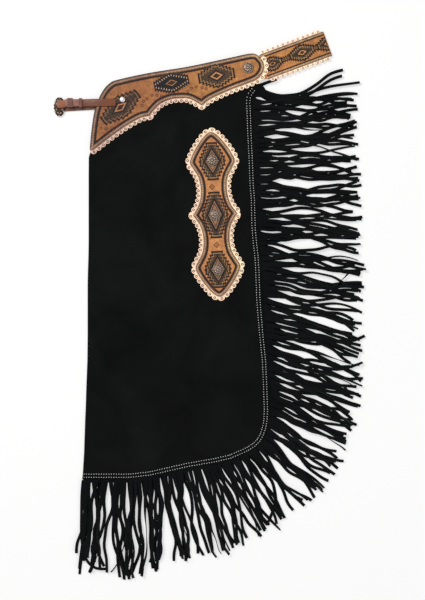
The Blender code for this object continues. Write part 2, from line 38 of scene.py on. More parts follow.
# The stack, from the surface up: underside leather, lower leg, upper leg, trim, leather.
TOOLED = 2.4
LOWER_TOOLED = 2.3
SUEDE = 1.8
TRIM = 1.0
STRAP = 2.2
GAP = 0.3
LEG_CLEARANCE = 0.4
LEG_RISE = 2.9
LEG_STEP = SUEDE + LEG_CLEARANCE
UPPER_TRIM_Z = 7.2
UPPER_TOOLED_Z = 8.5
UPPER_TOP_Z = UPPER_TOOLED_Z + TOOLED
RIM = 12.0
SLOPE = 22.0

# One row for each section of a leg panel: its height up the garment, and its two ends.
Section = namedtuple("Section", "y left right")
LEG_SECTIONS = (
    Section(486, 42, 58),
    Section(480, 14, 58),
    Section(469, -39, 58),
    Section(459, -113, 58),
    Section(451, -144, 62),
    Section(445, -169, 91),
    Section(437, -189, 110),
    Section(427, -199, 96),
    Section(415, -208, 87),
    Section(402, -213, 86),
    Section(388, -219, 87),
    Section(371, -224, 87.5),
    Section(353, -227, 88),
    Section(333, -230, 89),
    Section(311, -232.5, 90),
    Section(296, -239, 91),
    Section(265, -239.5, 92),
    Section(239, -239.5, 93),
    Section(211, -239.5, 95.5),
    Section(183, -239.5, 96),
    Section(153, -239.5, 97),
    Section(123, -239.5, 99.5),
    Section(93, -240, 103),
    Section(65, -241, 104.5),
    Section(37, -241.5, 105.5),
    Section(9, -241.5, 106.5),
    Section(-23, -241.5, 109),
    Section(-63, -241.5, 112.5),
    Section(-111, -242, 117.5),
    Section(-163, -244, 120),
    Section(-211, -245.5, 121.5),
    Section(-231, -246.5, 120.8),
    Section(-248, -247, 118),
    Section(-263, -247.5, 113),
    Section(-276.5, -248, 105.5),
    Section(-287, -248.3, 95),
    Section(-295.5, -248.6, 82),
    Section(-303, -249, 66),
    Section(-312, -249.5, 45),
    Section(-320, -250, 10),
    Section(-328, -250.5, -38),
    Section(-337, -251, -78),
    Section(-346, -252, -118),
    Section(-350.5, -252.5, -157),
)
LOWER_LEG_SHIFT = -1.4
LEG_GRID = (58, 5.5)
FRINGE_TOP_Y = 437

# Creases in the upper leg: two ends, height, and half width. Troughs have less than none.
Crease = namedtuple("Crease", "x0 y0 x1 y1 height width")
CREASES = (
    Crease(-205, 130, -150, 10, 2.2, 24),
    Crease(-100, 285, -72, 165, 1.6, 7),
    Crease(-188, 267, -163, 249, 1.0, 4),
    Crease(-165, 322, -60, 362, -1.6, 12),
    Crease(-165, 300, -60, 345, 1.8, 16),
    Crease(-100, -8, 70, -2, 2.2, 11),
    Crease(-96, 10, 60, 13, -1.4, 8),
    Crease(-222, -50, -156, -33, 1.6, 12),
    Crease(-212, -68, -160, -58, -1.0, 7),
    Crease(-118, -152, -98, -262, -1.7, 10),
    Crease(-138, -150, -122, -270, 1.8, 13),
    Crease(-94, -202, 34, -214, 1.4, 8),
    Crease(50, -66, 92, -42, -1.6, 9),
    Crease(-10, -95, 85, -60, 1.7, 15),
    Crease(-200, -300, -70, -310, 1.6, 15),
    Crease(-42, 369, 14, 376, 1.2, 9),
    Crease(-216, 120, -140, 40, -1.2, 9),
    Crease(-150, 60, -60, 88, 1.0, 8),
)
CREASE_CLEAR = 6.0
CREASE_FADE = 20.0
# Long low swells all over a leg: wavelength, heading, start and height.
Swell = namedtuple("Swell", "wave heading phase height")
SWELLS = (
    Swell(210, 0.3, 0.4, 0.30),
    Swell(145, 1.9, 2.1, 0.24),
    Swell(96, 1.1, 4.0, 0.16),
    Swell(61, 2.6, 0.9, 0.09),
    Swell(43, 0.7, 3.0, 0.05),
)

# The yoke's outline, from its front lower corner along the lower edge and back.
Point = namedtuple("Point", "x y corner", defaults=(False,))
YOKE_OUTLINE = (
    Point(-237, 308, True),
    Point(-228, 312),
    Point(-198, 335),
    Point(-168, 356),
    Point(-138, 373),
    Point(-118, 378, True),
    Point(-113, 386),
    Point(-98, 401),
    Point(-78, 410),
    Point(-60, 412.5),
    Point(-38, 411),
    Point(-14, 398, True),
    Point(3, 411),
    Point(42, 429),
    Point(82, 444),
    Point(98, 452),
    Point(108, 465),
    Point(110, 479),
    Point(103, 492),
    Point(88, 500),
    Point(42, 491),
    Point(-38, 474),
    Point(-118, 461),
    Point(-178, 448),
    Point(-196, 441),
    Point(-212, 423),
    Point(-226, 390),
    Point(-233, 349),
)
YOKE_TRIM_LAST = 18
CURVE_STEPS = 8
LOWER_YOKE_SHIFT = (-1.8, 2.6)

# A quarter of the overlay's outline, from its top point to the tip at mid-height.
Station = namedtuple("Station", "along half_width corner", defaults=(False,))
OVERLAY_QUARTER = (
    Station(164.5, 0),
    Station(158, 12),
    Station(144, 24),
    Station(126, 36),
    Station(106, 44.5),
    Station(90, 37),
    Station(76, 29.5),
    Station(58, 25.8),
    Station(38, 26.5),
    Station(19, 32),
    Station(0, 44, True),
)
OVERLAY_CENTRE = (12.5, 180)
OVERLAY_TURN = math.radians(3.06)
CONCHO_PLACES = (("concho_top", 107.5), ("concho_middle", -1.5), ("concho_bottom", -111.5))

# Scalloped trim: how far its valleys stand out, and the depth and pitch of a scallop.
Scallop = namedtuple("Scallop", "valley depth pitch points")
YOKE_SCALLOP = Scallop(4.0, 5.5, 11.0, 8)
OVERLAY_SCALLOP = Scallop(4.0, 5.5, 10.8, 8)
BELT_SCALLOP = Scallop(2.4, 4.4, 10.4, 8)
TRIM_TUCK = 2.5
LOWER_TRIM_Z = 0.2
PLAIN_TRIM_GAP = 0.6
STAMP_AWAY = 5.3
# Stamped rings: how far out each reaches, how wide it is, and how proud.
YOKE_STAMP = (3.3, 2.0, 0.25)
TRIM_STAMP = (2.9, 1.9, 0.22)
BELT_STAMP = (2.2, 1.3, 0.2)

# The belt: from under the yokes to the fold at the middle of the back.
BELT_START = (109.4, 474.6)
BELT_TURN = math.radians(20.3)
BELT_HALF_WIDTH = 25.7
BELT_TAB = ((-34, 8), (-20, 14), (-8, 22), (4, BELT_HALF_WIDTH))
BELTING = 1.8
BELT_TRIM_SHORT = 3.0
BELT_STAMP_AWAY = 3.4
BELT_BEND_U = 4.0
BELT_FOLD_U = 135.0
BELT_LOWER_Z = (3.8, 1.25)
BELT_UPPER_Z = (6.0, 4.65)

# Fringe: a row for each place along the edge, from the waist end round to the hem.
Lay = namedtuple("Lay", "along angle length")
FRINGE_LAY = (
    Lay(0, 7, 186),
    Lay(40, 2, 198),
    Lay(160, 0, 198),
    Lay(280, -3, 200),
    Lay(360, -8, 200),
    Lay(440, -14, 194),
    Lay(520, -18, 194),
    Lay(600, -22, 182),
    Lay(665, -28, 166),
    Lay(700, -36, 150),
    Lay(735, -44, 142),
    Lay(770, -52, 146),
    Lay(810, -61, 164),
    Lay(860, -72, 178),
    Lay(920, -81, 182),
    Lay(990, -88, 190),
    Lay(1045, -91, 198),
    Lay(1100, -94, 164),
)
HEADING_GAP = 0.6
HEADING_WIDTH = 6.0
HEADING_TUCK = 1.5
STRAND_PITCH = 9.4
STRAND_WIDTH = 6.8
ROOT_WIDER = 2.2
ROOT_REACH = (20, 13)
HEM_START = 760.0
HEM_TURN = 150.0
STRAND_THICK = 1.2
STRAND_STEPS = 22
NORMAL_SPAN = 9.0
FringeLevel = namedtuple("FringeLevel", "leg heading lift first seed")
FRINGE_LEVELS = (
    FringeLevel("lower", 0.3, 0.9, -2.3, 11),
    FringeLevel("upper", 2.7, 4.2, 2.3, 23),
)
# The runs that the fringe is cut in, by where each ends along the edge.
FRINGE_RUNS = (("side", 647.5), ("corner", 829.5), ("hem", 1100.0))

# The front strap, its buckle and keepers.
STRAP_WIDTH = 15.0
STRAP_Y = 403.0
BUCKLE_CENTRE = (-299.0, 395.5)
BUCKLE_HALF = (10.2, 18.4)
BUCKLE_LOBES = 18
BUCKLE_Z = 2.8
BUCKLE_THICK = 3.0
KEEPER_WALL = 1.2
KEEPERS = (("keeper_wide", -277.5, 11.0), ("keeper_narrow", -256.5, 5.5))
ON_YOKE = UPPER_TOP_Z + GAP
ON_BUCKLE = BUCKLE_Z + BUCKLE_THICK + GAP
ON_STRAP = ON_BUCKLE + STRAP + GAP
# Stations of each strap: x, how far its middle lies off STRAP_Y, and its underside.
StrapStation = namedtuple("StrapStation", "x aside z")
STRAP_UPPER = (
    StrapStation(-304, -3.5, ON_BUCKLE),
    StrapStation(-292, -2.5, ON_BUCKLE),
    StrapStation(-284, 0, ON_BUCKLE),
    StrapStation(-250, 0, ON_BUCKLE),
    StrapStation(-236, 0, ON_BUCKLE + 2.6),
    StrapStation(-228, 0, ON_YOKE),
    StrapStation(-186, 0, ON_YOKE),
)
STRAP_LOWER = (
    StrapStation(-303, -10, GAP),
    StrapStation(-262, -7.5, GAP),
    StrapStation(-246, -6.6, GAP + 0.4),
    StrapStation(-229, -5.6, TOOLED + GAP),
    StrapStation(-219.5, -5.2, TOOLED + GAP),
)
STRAP_END = (
    StrapStation(-288, 0, ON_STRAP),
    StrapStation(-252.5, 0, ON_STRAP),
)
STRAP_END_WIDTH = 14.4

CONCHO_RADIUS = 11.5
SNAP_PLACE = (78.5, 472.5)
RIVET_PLACE = (-172.5, 409.0)
RIVET_RADIUS = 5.4

# Rows of stitching inside a leg's edge: how far in, and the length and pitch of a stitch.
STITCH_ROWS = (4.0, 10.4)
STITCH_LENGTH = 2.4
STITCH_PITCH = 5.0
STITCH_HALF = 0.7
STITCH_TOP_Y = 430
STITCH_RISE = 0.45
STITCH_PROUD = 0.15


def dye(red, green, blue):
    """A screen colour as the light that it stands for."""
    return tuple(((c / 255 + 0.055) / 1.055) ** 2.4 for c in (red, green, blue)) + (1.0,)


TAN = dye(186, 134, 86)
OVERLAY_TAN = dye(202, 146, 101)
BELT_TAN = dye(190, 136, 88)
# Dark halo round motifs and inside borders: part burnishing, part painted shade.
BURNISHED_AND_SHADED = dye(122, 74, 44)
BORDER = dye(134, 108, 92)
BEAD = dye(230, 206, 182)
GROOVE = dye(30, 18, 12)
EDGE = dye(112, 82, 62)
# Blackened dye of the tooling, also used as the painted shadow in the strap's hole.
BLACKENED_AND_HOLE_SHADOW = dye(20, 14, 12)
INKED = dye(20, 20, 24)
INKED_LIGHT = dye(70, 64, 62)
OLIVE_LIGHT = dye(158, 126, 96)
OLIVE = dye(84, 66, 52)
SMOKE = dye(82, 62, 52)
ROSE = dye(160, 126, 106)
PALE = dye(220, 164, 118)
STAMPED = dye(104, 46, 26)
BURNT = dye(66, 40, 26)
CREAM = dye(276, 256, 240)
RINGED = dye(62, 38, 26)
BELT_CREAM = dye(262, 244, 238)
STRAP_BROWN = dye(140, 90, 60)
STRAP_DARK = dye(132, 104, 86)
STRAP_FREE = dye(176, 138, 129)
STRAP_TIP = dye(190, 132, 92)
KEEPER = dye(146, 108, 100)
KEEPER_EDGE = dye(70, 44, 36)
SILVER_BRIGHT = dye(214, 200, 186)
SILVER_DARK = dye(74, 60, 52)
CONCHO_GREY = dye(118, 100, 90)


def clean_smooth(t):
    t = min(max(t, 0.0), 1.0)
    return t * t * (3.0 - 2.0 * t)


def lookup(rows, value):
    """Reads the other columns of a table at a value of its first column."""
    if value <= rows[0][0]:
        return rows[0][1:]
    for low, high in zip(rows, rows[1:]):
        if value <= high[0]:
            share = (value - low[0]) / (high[0] - low[0])
            return tuple(a + (b - a) * share for a, b in zip(low[1:], high[1:]))
    return rows[-1][1:]


def curve_through(rows, steps):
    """A closed smooth curve through the rows, with a sharp turn at each corner."""
    count = len(rows)
    found = []
    for i in range(count):
        before, start, end, after = (rows[(i + k) % count] for k in (-1, 0, 1, 2))
        p0, p1, p2, p3 = (Vector((row.x, row.y)) for row in (before, start, end, after))
        leave = p2 - p1 if start.corner else (p2 - p0) / 2
        arrive = p2 - p1 if end.corner else (p3 - p1) / 2
        for k in range(steps):
            t = k / steps
            found.append(
                p1 * (2 * t**3 - 3 * t**2 + 1)
                + leave * (t**3 - 2 * t**2 + t)
                + p2 * (3 * t**2 - 2 * t**3)
                + arrive * (t**3 - t**2)
            )
    return found


class Path:
    """A run of points that is read by the distance along it, with an outward side."""

    def __init__(self, points, side=1, closed=False):
        self.points = [Vector(p) for p in points]
        if closed:
            self.points.append(self.points[0].copy())
        self.side = side
        self.closed = closed
        self.stops = [0.0]
        for a, b in zip(self.points, self.points[1:]):
            self.stops.append(self.stops[-1] + (b - a).length)
        self.length = self.stops[-1]

    def at(self, along):
        if self.closed:
            along %= self.length
        along = min(max(along, 0.0), self.length)
        i = min(max(bisect.bisect_left(self.stops, along), 1), len(self.stops) - 1)
        span = self.stops[i] - self.stops[i - 1]
        return self.points[i - 1].lerp(self.points[i], (along - self.stops[i - 1]) / span)

    def outward(self, along, span=6.0):
        """The direction away from the piece, evened out over a span of the path."""
        step = self.at(along + span / 2) - self.at(along - span / 2)
        return Vector((step.y, -step.x)).normalized() * self.side

    def offset(self, along, away, span=6.0):
        return self.at(along) + self.outward(along, span) * away

    def every(self, pitch):
        """Evenly spaced places along the path, as near to the pitch as fits."""
        count = max(1, round(self.length / pitch))
        return [(i + 0.5) * self.length / count for i in range(count)]


def nearest(points, outline):
    """The distance of each point from a closed outline, and which points lie inside it."""
    p = np.array([(q[0], q[1]) for q in points], float)
    a = np.array([(q[0], q[1]) for q in outline], float)
    b = np.roll(a, -1, axis=0)
    best = np.full(len(p), np.inf)
    inside = np.zeros(len(p), bool)
    for start, end in zip(a, b):
        run = end - start
        share = np.clip(((p - start) @ run) / max(run @ run, 1e-12), 0, 1)
        away = p - start - share[:, None] * run
        best = np.minimum(best, np.hypot(away[:, 0], away[:, 1]))
        crosses = (start[1] > p[:, 1]) != (end[1] > p[:, 1])
        if crosses.any():
            where = start[0] + (p[:, 1] - start[1]) * run[0] / (run[1] if run[1] else 1e-12)
            inside ^= crosses & (p[:, 0] < where)
    return best, inside


def inset_outline(path, inset, teeth=0.0):
    """A closed outline moved in, without the points that would cross over at a corner."""
    if inset == 0:
        return path.points[:-1]
    stops = path.every(3.0)
    moved = [path.offset(s, -inset - (teeth if i % 2 else 0.0)) for i, s in enumerate(stops)]
    best, inside = nearest(moved, path.points[:-1])
    return [p for p, d, ok in zip(moved, best, inside) if ok and d > inset - 0.3]


def scalloped_edge(path, scallop):
    """Half-round scallops along a path, from one valley to the next."""
    count = round(path.length / scallop.pitch)
    pitch = path.length / count
    edge = []
    for i in range(count):
        for k in range(scallop.points):
            turn = math.pi * k / scallop.points
            along = (i + (1 - math.cos(turn)) / 2) * pitch
            edge.append(path.offset(along, scallop.valley + scallop.depth * math.sin(turn)))
    return edge


def overlay_outline():
    """The whole outline of an overlay, upright about its own centre."""
    quarter = OVERLAY_QUARTER
    right = [Point(s.half_width, s.along, s.corner) for s in quarter]
    lower = [Point(s.half_width, -s.along, s.corner) for s in quarter[-2::-1]]
    left_lower = [Point(-s.half_width, -s.along, s.corner) for s in quarter[1:]]
    left_upper = [Point(-s.half_width, s.along, s.corner) for s in quarter[-2:0:-1]]
    return curve_through((right + lower + left_lower + left_upper)[::-1], CURVE_STEPS // 2)


def new_bmesh():
    bm = bmesh.new()
    bm.loops.layers.float_color.new("dye")
    return bm


def paint(bm, faces, colour):
    layer = bm.loops.layers.float_color["dye"]
    for face in faces:
        for loop in face.loops:
            loop[layer] = colour


def cut_plate(bm, outlines, bottom, top, colour, rounding=0.0, side_colour=None):
    """A flat piece cut to one outline, with a hole for each further outline."""
    before = set(bm.faces)
    edges = []
    for outline in outlines:
        verts = [bm.verts.new((p[0], p[1], bottom)) for p in outline]
        edges += [bm.edges.new(pair) for pair in zip(verts, verts[1:] + verts[:1])]
    filled = bmesh.ops.triangle_fill(bm, use_beauty=True, edges=edges)
    faces = [f for f in filled["geom"] if isinstance(f, bmesh.types.BMFace)]
    made = bmesh.ops.extrude_face_region(bm, geom=faces)
    raised = [v for v in made["geom"] if isinstance(v, bmesh.types.BMVert)]
    bmesh.ops.translate(bm, vec=(0, 0, top - bottom), verts=raised)
    if rounding:
        upper = set(raised)
        for face in set(bm.faces) - before:
            face.normal_update()
        rim = [
            e
            for e in {e for v in raised for e in v.link_edges if e.other_vert(v) in upper}
            if sum(abs(f.normal.z) < 0.5 for f in e.link_faces) == 1
        ]
        bmesh.ops.bevel(
            bm,
            geom=rim,
            offset=rounding,
            offset_type="OFFSET",
            segments=2,
            profile=0.5,
            affect="EDGES",
            clamp_overlap=True,
            material=-1,
        )
    new = set(bm.faces) - before
    paint(bm, new, colour)
    if side_colour:
        for face in new:
            face.normal_update()
        paint(bm, [f for f in new if abs(f.normal.z) < 0.5], side_colour)


def shape_of(bm):
    """The corners and faces of a small shape that is repeated many times."""
    bm.verts.index_update()
    corners = np.array([(*v.co, 1.0) for v in bm.verts])
    faces = [[v.index for v in f.verts] for f in bm.faces]
    bm.free()
    return corners, faces


def bead_shape(u_segments=6, v_segments=4):
    bm = bmesh.new()
    bmesh.ops.create_uvsphere(bm, u_segments=u_segments, v_segments=v_segments, radius=1.0)
    return shape_of(bm)


def ring_shape(radius, wall, height, steps=14):
    """A small stamped ring, spun about its own centre."""
    bm = bmesh.new()
    profile = ((radius - wall, 0.0), (radius - wall * 0.5, height), (radius, 0.0))
    verts = [bm.verts.new((r, 0, z)) for r, z in profile]
    edges = [bm.edges.new(pair) for pair in zip(verts, verts[1:])]
    bmesh.ops.spin(
        bm,
        geom=verts + edges,
        cent=(0, 0, 0),
        axis=(0, 0, 1),
        angle=math.tau,
        steps=steps,
        use_merge=True,
    )
    return shape_of(bm)


def spot(x, y, z, turn=0.0, size=(1, 1, 1)):
    return Matrix.LocRotScale((x, y, z), Matrix.Rotation(turn, 3, "Z"), size)


def repeat(bm, shape, spots, colour=None):
    """Adds a copy of a small shape at each spot."""
    corners, faces = shape
    moved = np.concatenate([corners @ np.array(m).T[:, :3] for m in spots])
    joined = [[i + k * len(corners) for i in face] for k in range(len(spots)) for face in faces]
    data = bpy.data.meshes.new("repeats")
    data.from_pydata(moved.tolist(), [], joined)
    before = set(bm.faces)
    bm.from_mesh(data)
    bpy.data.meshes.remove(data)
    if colour:
        paint(bm, set(bm.faces) - before, colour)


def add_beads(bm, places, radius, height, bottom, colour):
    """Small low domes."""
    size = (radius, radius, height)
    repeat(bm, bead_shape(), [spot(x, y, bottom, 0.0, size) for x, y in places], colour)


def finish_piece(name, bm, material, replaces=(), crisp=35.0, recalc=True):
    """Turns a bmesh in millimetres into a piece that rides with the part."""
    if recalc:
        bmesh.ops.recalc_face_normals(bm, faces=bm.faces)
    bmesh.ops.scale(bm, vec=(MM, MM, MM), verts=bm.verts)
    limit = math.radians(crisp)
    for face in bm.faces:
        face.smooth = True
    for edge in bm.edges:
        edge.smooth = edge.is_manifold and edge.calc_face_angle(math.pi) < limit
    data = bpy.data.meshes.new(name)
    bm.to_mesh(data)
    bm.free()
    data.materials.append(material)
    piece = bpy.data.objects.new(name, data)
    bpy.context.scene.collection.objects.link(piece)
    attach(piece, "root")
    if replaces:
        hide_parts(*replaces)
    return piece


# Materials


def start_material(name, **sockets):
    material = bpy.data.materials.new(name)
    material.use_nodes = True
    shader = material.node_tree.nodes["Principled BSDF"]
    for socket, value in sockets.items():
        shader.inputs[socket.replace("_", " ")].default_value = value
    return material, material.node_tree, shader


def add_node(tree, kind, inputs=(), **settings):
    """Adds a node, sets its options, and sets or links its inputs."""
    node = tree.nodes.new("ShaderNode" + kind)
    for key, value in settings.items():
        setattr(node, key, value)
    for key, value in dict(inputs).items():
        if isinstance(value, bpy.types.NodeSocket):
            tree.links.new(value, node.inputs[key])
        else:
            node.inputs[key].default_value = value
    return node


def object_place(tree):
    return add_node(tree, "TexCoord").outputs["Object"]


def noise(tree, place, scale, detail=3.0, roughness=0.55, distortion=0.0):
    settings = {
        "Vector": place,
        "Scale": scale,
        "Detail": detail,
        "Roughness": roughness,
        "Distortion": distortion,
    }
    return add_node(tree, "TexNoise", settings).outputs[0]


def ranged(tree, value, low, high, from_low=0.3, from_high=0.7):
    settings = {
        "Value": value,
        "From Min": from_low,
        "From Max": from_high,
        "To Min": low,
        "To Max": high,
    }
    return add_node(tree, "MapRange", settings).outputs[0]


def mixed(tree, share, first, second, blend="MIX"):
    node = add_node(tree, "Mix", data_type="RGBA", blend_type=blend, clamp_factor=True)
    for index, value in ((0, share), (6, first), (7, second)):
        if isinstance(value, bpy.types.NodeSocket):
            tree.links.new(value, node.inputs[index])
        else:
            node.inputs[index].default_value = value
    return node.outputs[2]


def bumped(tree, height, strength, distance, under=None):
    inputs = {"Height": height, "Strength": strength, "Distance": distance}
    if under is not None:
        inputs["Normal"] = under
    return add_node(tree, "Bump", inputs).outputs[0]


def suede_material(name, nap_light, nap_dark, fibre=1500.0):
    """Napped black suede: clouds where the nap lies over, and short fibres."""
    material, tree, shader = start_material(
        name, Roughness=0.95, Specular_IOR_Level=0.08, Sheen_Weight=0.08, Sheen_Roughness=0.5
    )
    place = object_place(tree)
    cloud = noise(tree, place, 9.0, 4.0, 0.6, 0.6)
    brushed = ranged(tree, cloud, 0.0, 1.0)
    fibres = noise(tree, place, fibre, 2.0, 0.7)
    tone = mixed(tree, brushed, nap_dark, nap_light)
    speck = ranged(tree, fibres, 0.75, 1.3)
    tree.links.new(mixed(tree, 1.0, tone, speck, "MULTIPLY"), shader.inputs["Base Color"])
    pile = bumped(tree, fibres, 0.6, 0.0004)
    patches = noise(tree, place, 130.0, 3.0, 0.6)
    tree.links.new(bumped(tree, patches, 0.35, 0.0009, pile), shader.inputs["Normal"])
    return material


def leather_material(name, roughness=0.5, antiquing=0.35, grain=1.0, coat=0.15):
    """Dyed grain leather: pores, crackle and cloudy antiquing over each part's own dye."""
    material, tree, shader = start_material(
        name, Roughness=roughness, Specular_IOR_Level=0.3, Coat_Weight=coat, Coat_Roughness=0.35
    )
    place = object_place(tree)
    base = add_node(tree, "Attribute", attribute_name="dye").outputs["Color"]
    clouds = noise(tree, place, 46.0, 5.0, 0.7, 1.2)
    mottle = noise(tree, place, 210.0, 4.0, 0.7, 0.5)
    fine = noise(tree, place, 620.0, 3.0, 0.6)
    hue = noise(tree, place, 11.0, 2.0, 0.5)
    across = add_node(tree, "SeparateXYZ", {"Vector": place}).outputs["X"]
    shade = mixed(tree, ranged(tree, clouds, 0.0, 1.0), (0.58, 0.50, 0.47, 1), (1.2, 1.18, 1.12, 1))
    toned = mixed(tree, antiquing * 2, base, mixed(tree, 1.0, base, shade, "MULTIPLY"))
    warmth = mixed(tree, ranged(tree, hue, 0.0, 1.0), (1.0, 0.88, 0.90, 1), (1.05, 1.03, 0.90, 1))
    toned = mixed(tree, 1.0, toned, warmth, "MULTIPLY")
    # Darker and browner towards -x, set by position alone.
    leftward_tone = mixed(tree, ranged(tree, across, 0.0, 1.0, -0.22, 0.08), (0.75, 0.67, 0.70, 1), (1.2, 1.21, 1.08, 1))
    toned = mixed(tree, 1.0, toned, leftward_tone, "MULTIPLY")
    dapple = mixed(tree, ranged(tree, mottle, 0.0, 1.0), (0.72, 0.69, 0.67, 1), (1.12, 1.12, 1.1, 1))
    toned = mixed(tree, 1.0, toned, dapple, "MULTIPLY")
    speckle = mixed(tree, ranged(tree, fine, 0.0, 1.0), (0.85, 0.83, 0.8, 1), (1.08, 1.08, 1.08, 1))
    tree.links.new(mixed(tree, 1.0, toned, speckle, "MULTIPLY"), shader.inputs["Base Color"])
    rough = ranged(tree, fine, roughness - 0.06, roughness + 0.2)
    tree.links.new(rough, shader.inputs["Roughness"])
    cells = add_node(tree, "TexVoronoi", {"Vector": place, "Scale": 850.0}, feature="F1")
    pores = bumped(tree, cells.outputs["Distance"], 0.35 * grain, 0.0002)
    tree.links.new(bumped(tree, fine, 0.4 * grain, 0.0004, pores), shader.inputs["Normal"])
    return material


def metal_material(name, bright, dark, roughness):
    """Cast metal with dark patina left in its hollows by the part's own dye."""
    material, tree, shader = start_material(name, Metallic=1.0, Roughness=roughness)
    place = object_place(tree)
    base = add_node(tree, "Attribute", attribute_name="dye").outputs["Color"]
    tarnish = noise(tree, place, 300.0, 4.0, 0.6)
    tint = mixed(tree, ranged(tree, tarnish, 0.0, 1.0), dark, bright)
    tree.links.new(mixed(tree, 1.0, base, tint, "MULTIPLY"), shader.inputs["Base Color"])
    tree.links.new(ranged(tree, tarnish, roughness + 0.15, roughness - 0.05), shader.inputs["Roughness"])
    tree.links.new(bumped(tree, noise(tree, place, 900.0), 0.3, 0.0002), shader.inputs["Normal"])
    return material


def thread_material(name):
    material, tree, shader = start_material(name, Roughness=0.7, Sheen_Weight=0.2)
    place = object_place(tree)
    lint = noise(tree, place, 1400.0, 2.0)
    tone = mixed(tree, ranged(tree, lint, 0.0, 1.0), dye(226, 226, 228), dye(255, 255, 255))
    tree.links.new(tone, shader.inputs["Base Color"])
    tree.links.new(bumped(tree, lint, 0.5, 0.0002), shader.inputs["Normal"])
    return material


# Suede legs


def leg_heights(points, with_creases):
    """How high each point of a leg is lifted by what lies under it and by its creases."""
    near_yoke, in_yoke = nearest(points, yoke_curve)
    near_overlay, in_overlay = nearest(points, overlay_placed)
    near = np.minimum(
        np.where(in_yoke, 0.0, near_yoke), np.where(in_overlay, 0.0, near_overlay)
    )
    drop = np.clip((near - RIM) / SLOPE, 0, 1)
    height = LEG_RISE * (1 - drop * drop * (3 - 2 * drop))
    if not with_creases:
        return height
    p = np.array([(q[0], q[1]) for q in points], float)
    edge = np.full(len(p), np.inf)
    for q in fringe_edge.points:
        edge = np.minimum(edge, np.hypot(p[:, 0] - q.x, p[:, 1] - q.y))
    clear = np.clip((near - CREASE_CLEAR) / CREASE_FADE, 0, 1)
    clear = clear * np.clip((edge - CREASE_CLEAR) / CREASE_FADE, 0, 1)
    folds = np.zeros(len(p))
    for crease in CREASES:
        start = np.array((crease.x0, crease.y0), float)
        run = np.array((crease.x1, crease.y1), float) - start
        share = ((p - start) @ run) / (run @ run)
        away = p - start - np.clip(share, 0, 1)[:, None] * run
        taper = np.clip(1.15 - np.abs(2 * np.clip(share, 0, 1) - 1) ** 3, 0.15, 1)
        wide = np.hypot(away[:, 0], away[:, 1]) / crease.width
        folds += crease.height * taper * np.exp(-(wide**2))
    for swell in SWELLS:
        across = p[:, 0] * math.cos(swell.heading) + p[:, 1] * math.sin(swell.heading)
        wander = 0.8 * np.sin(p[:, 0] / 83 + swell.phase) + 0.8 * np.cos(p[:, 1] / 97)
        folds += swell.height * np.sin(math.tau * across / swell.wave + swell.phase + wander)
    return height + np.clip(folds, -1.6, 3.4) * clear


def leg_panel(name, base, with_creases, shift, node):
    """A suede panel through its sections, then given its thickness."""
    columns = LEG_GRID[0]
    top = LEG_SECTIONS[0].y
    tall = top - LEG_SECTIONS[-1].y
    heights = [top - tall * i / round(tall / LEG_GRID[1]) for i in range(round(tall / LEG_GRID[1]) + 1)]
    rows = len(heights) - 1
    table = [(-s.y, s.left, s.right) for s in LEG_SECTIONS]
    bm = bmesh.new()
    bmesh.ops.create_grid(bm, x_segments=columns, y_segments=rows, size=0.5)
    for vert in bm.verts:
        share = vert.co.x + 0.5
        y = heights[round((0.5 - vert.co.y) * rows)]
        left, right = lookup(table, -y)
        vert.co = (left + shift + (right - left - shift) * share, y, 0)
    lifted = leg_heights([v.co for v in bm.verts], with_creases)
    for vert, lift in zip(bm.verts, lifted):
        vert.co.z = base + lift
    made = bmesh.ops.extrude_face_region(bm, geom=bm.faces[:])
    raised = [v for v in made["geom"] if isinstance(v, bmesh.types.BMVert)]
    bmesh.ops.translate(bm, vec=(0, 0, SUEDE), verts=raised)
    return finish_piece(name, bm, black_suede, (node,), crisp=50.0)


def leg_stitches(name, bottom, with_creases):
    """Two rows of thread along the side and the hem, set on a face of the suede."""
    run = Path([(s.right, s.y) for s in LEG_SECTIONS if s.y <= STITCH_TOP_Y] + [(-252.5, -350.5)], side=-1)
    places = []
    for away in STITCH_ROWS:
        for along in run.every(STITCH_PITCH):
            out = run.outward(along, NORMAL_SPAN)
            places.append((run.at(along) - out * away, math.atan2(out.x, -out.y)))
    lifted = leg_heights([p for p, _ in places], with_creases)
    size = (STITCH_LENGTH / 2, STITCH_HALF, STITCH_RISE)
    spots = [
        spot(at.x, at.y, bottom + lift, turn, size) for (at, turn), lift in zip(places, lifted)
    ]
    bm = bmesh.new()
    bmesh.ops.create_icosphere(bm, subdivisions=1, radius=1.0)
    shape = shape_of(bm)
    bm = bmesh.new()
    repeat(bm, shape, spots)
    return finish_piece(name, bm, white_thread, crisp=70.0)


def make_legs():
    lower = leg_panel("leg_lower_suede", 0.0, False, LOWER_LEG_SHIFT, "leg_lower")
    upper = leg_panel("leg_upper_suede", LEG_STEP, True, 0.0, "leg_upper")
    leg_stitches("leg_upper_stitching", LEG_STEP + SUEDE + STITCH_PROUD, True)
    leg_stitches("leg_lower_stitching", STITCH_RISE - STITCH_PROUD, False)
    return lower, upper


# Fringe


# Strands that lie apart from the rest: a short one under the belt, some that dip and rise
# below it, and a looped one at the hem. The turns give the heading in degrees at shares of
# the length.
LaidStrand = namedtuple("LaidStrand", "leg along x y length turns")
LAID_STRANDS = (
    LaidStrand("upper", 0, 101, 438, 37, ((0, 19), (1, 19))),
    LaidStrand("upper", 0, 101, 434, 215, ((0, -40), (0.16, -32), (0.28, 6), (0.4, 25), (0.6, 20), (0.8, 9), (1, 6))),
    LaidStrand("upper", 10, 97, 427, 208, ((0, -32), (0.2, -22), (0.34, 4), (0.55, 17), (0.8, 10), (1, -14))),
    LaidStrand("lower", 20, 96, 424, 204, ((0, -34), (0.22, -24), (0.4, 14), (0.6, 19), (1, 0))),
    LaidStrand("upper", 1090, -246, -352, 178, ((0, -92), (1, -97))),
    LaidStrand("upper", 1090, -251, -352, 206, ((0, -97), (0.4, -92), (0.68, -76), (0.82, -42), (0.92, -6), (1, 8))),
    LaidStrand("lower", 1090, -243, -352, 190, ((0, -93), (1, -97))),
)
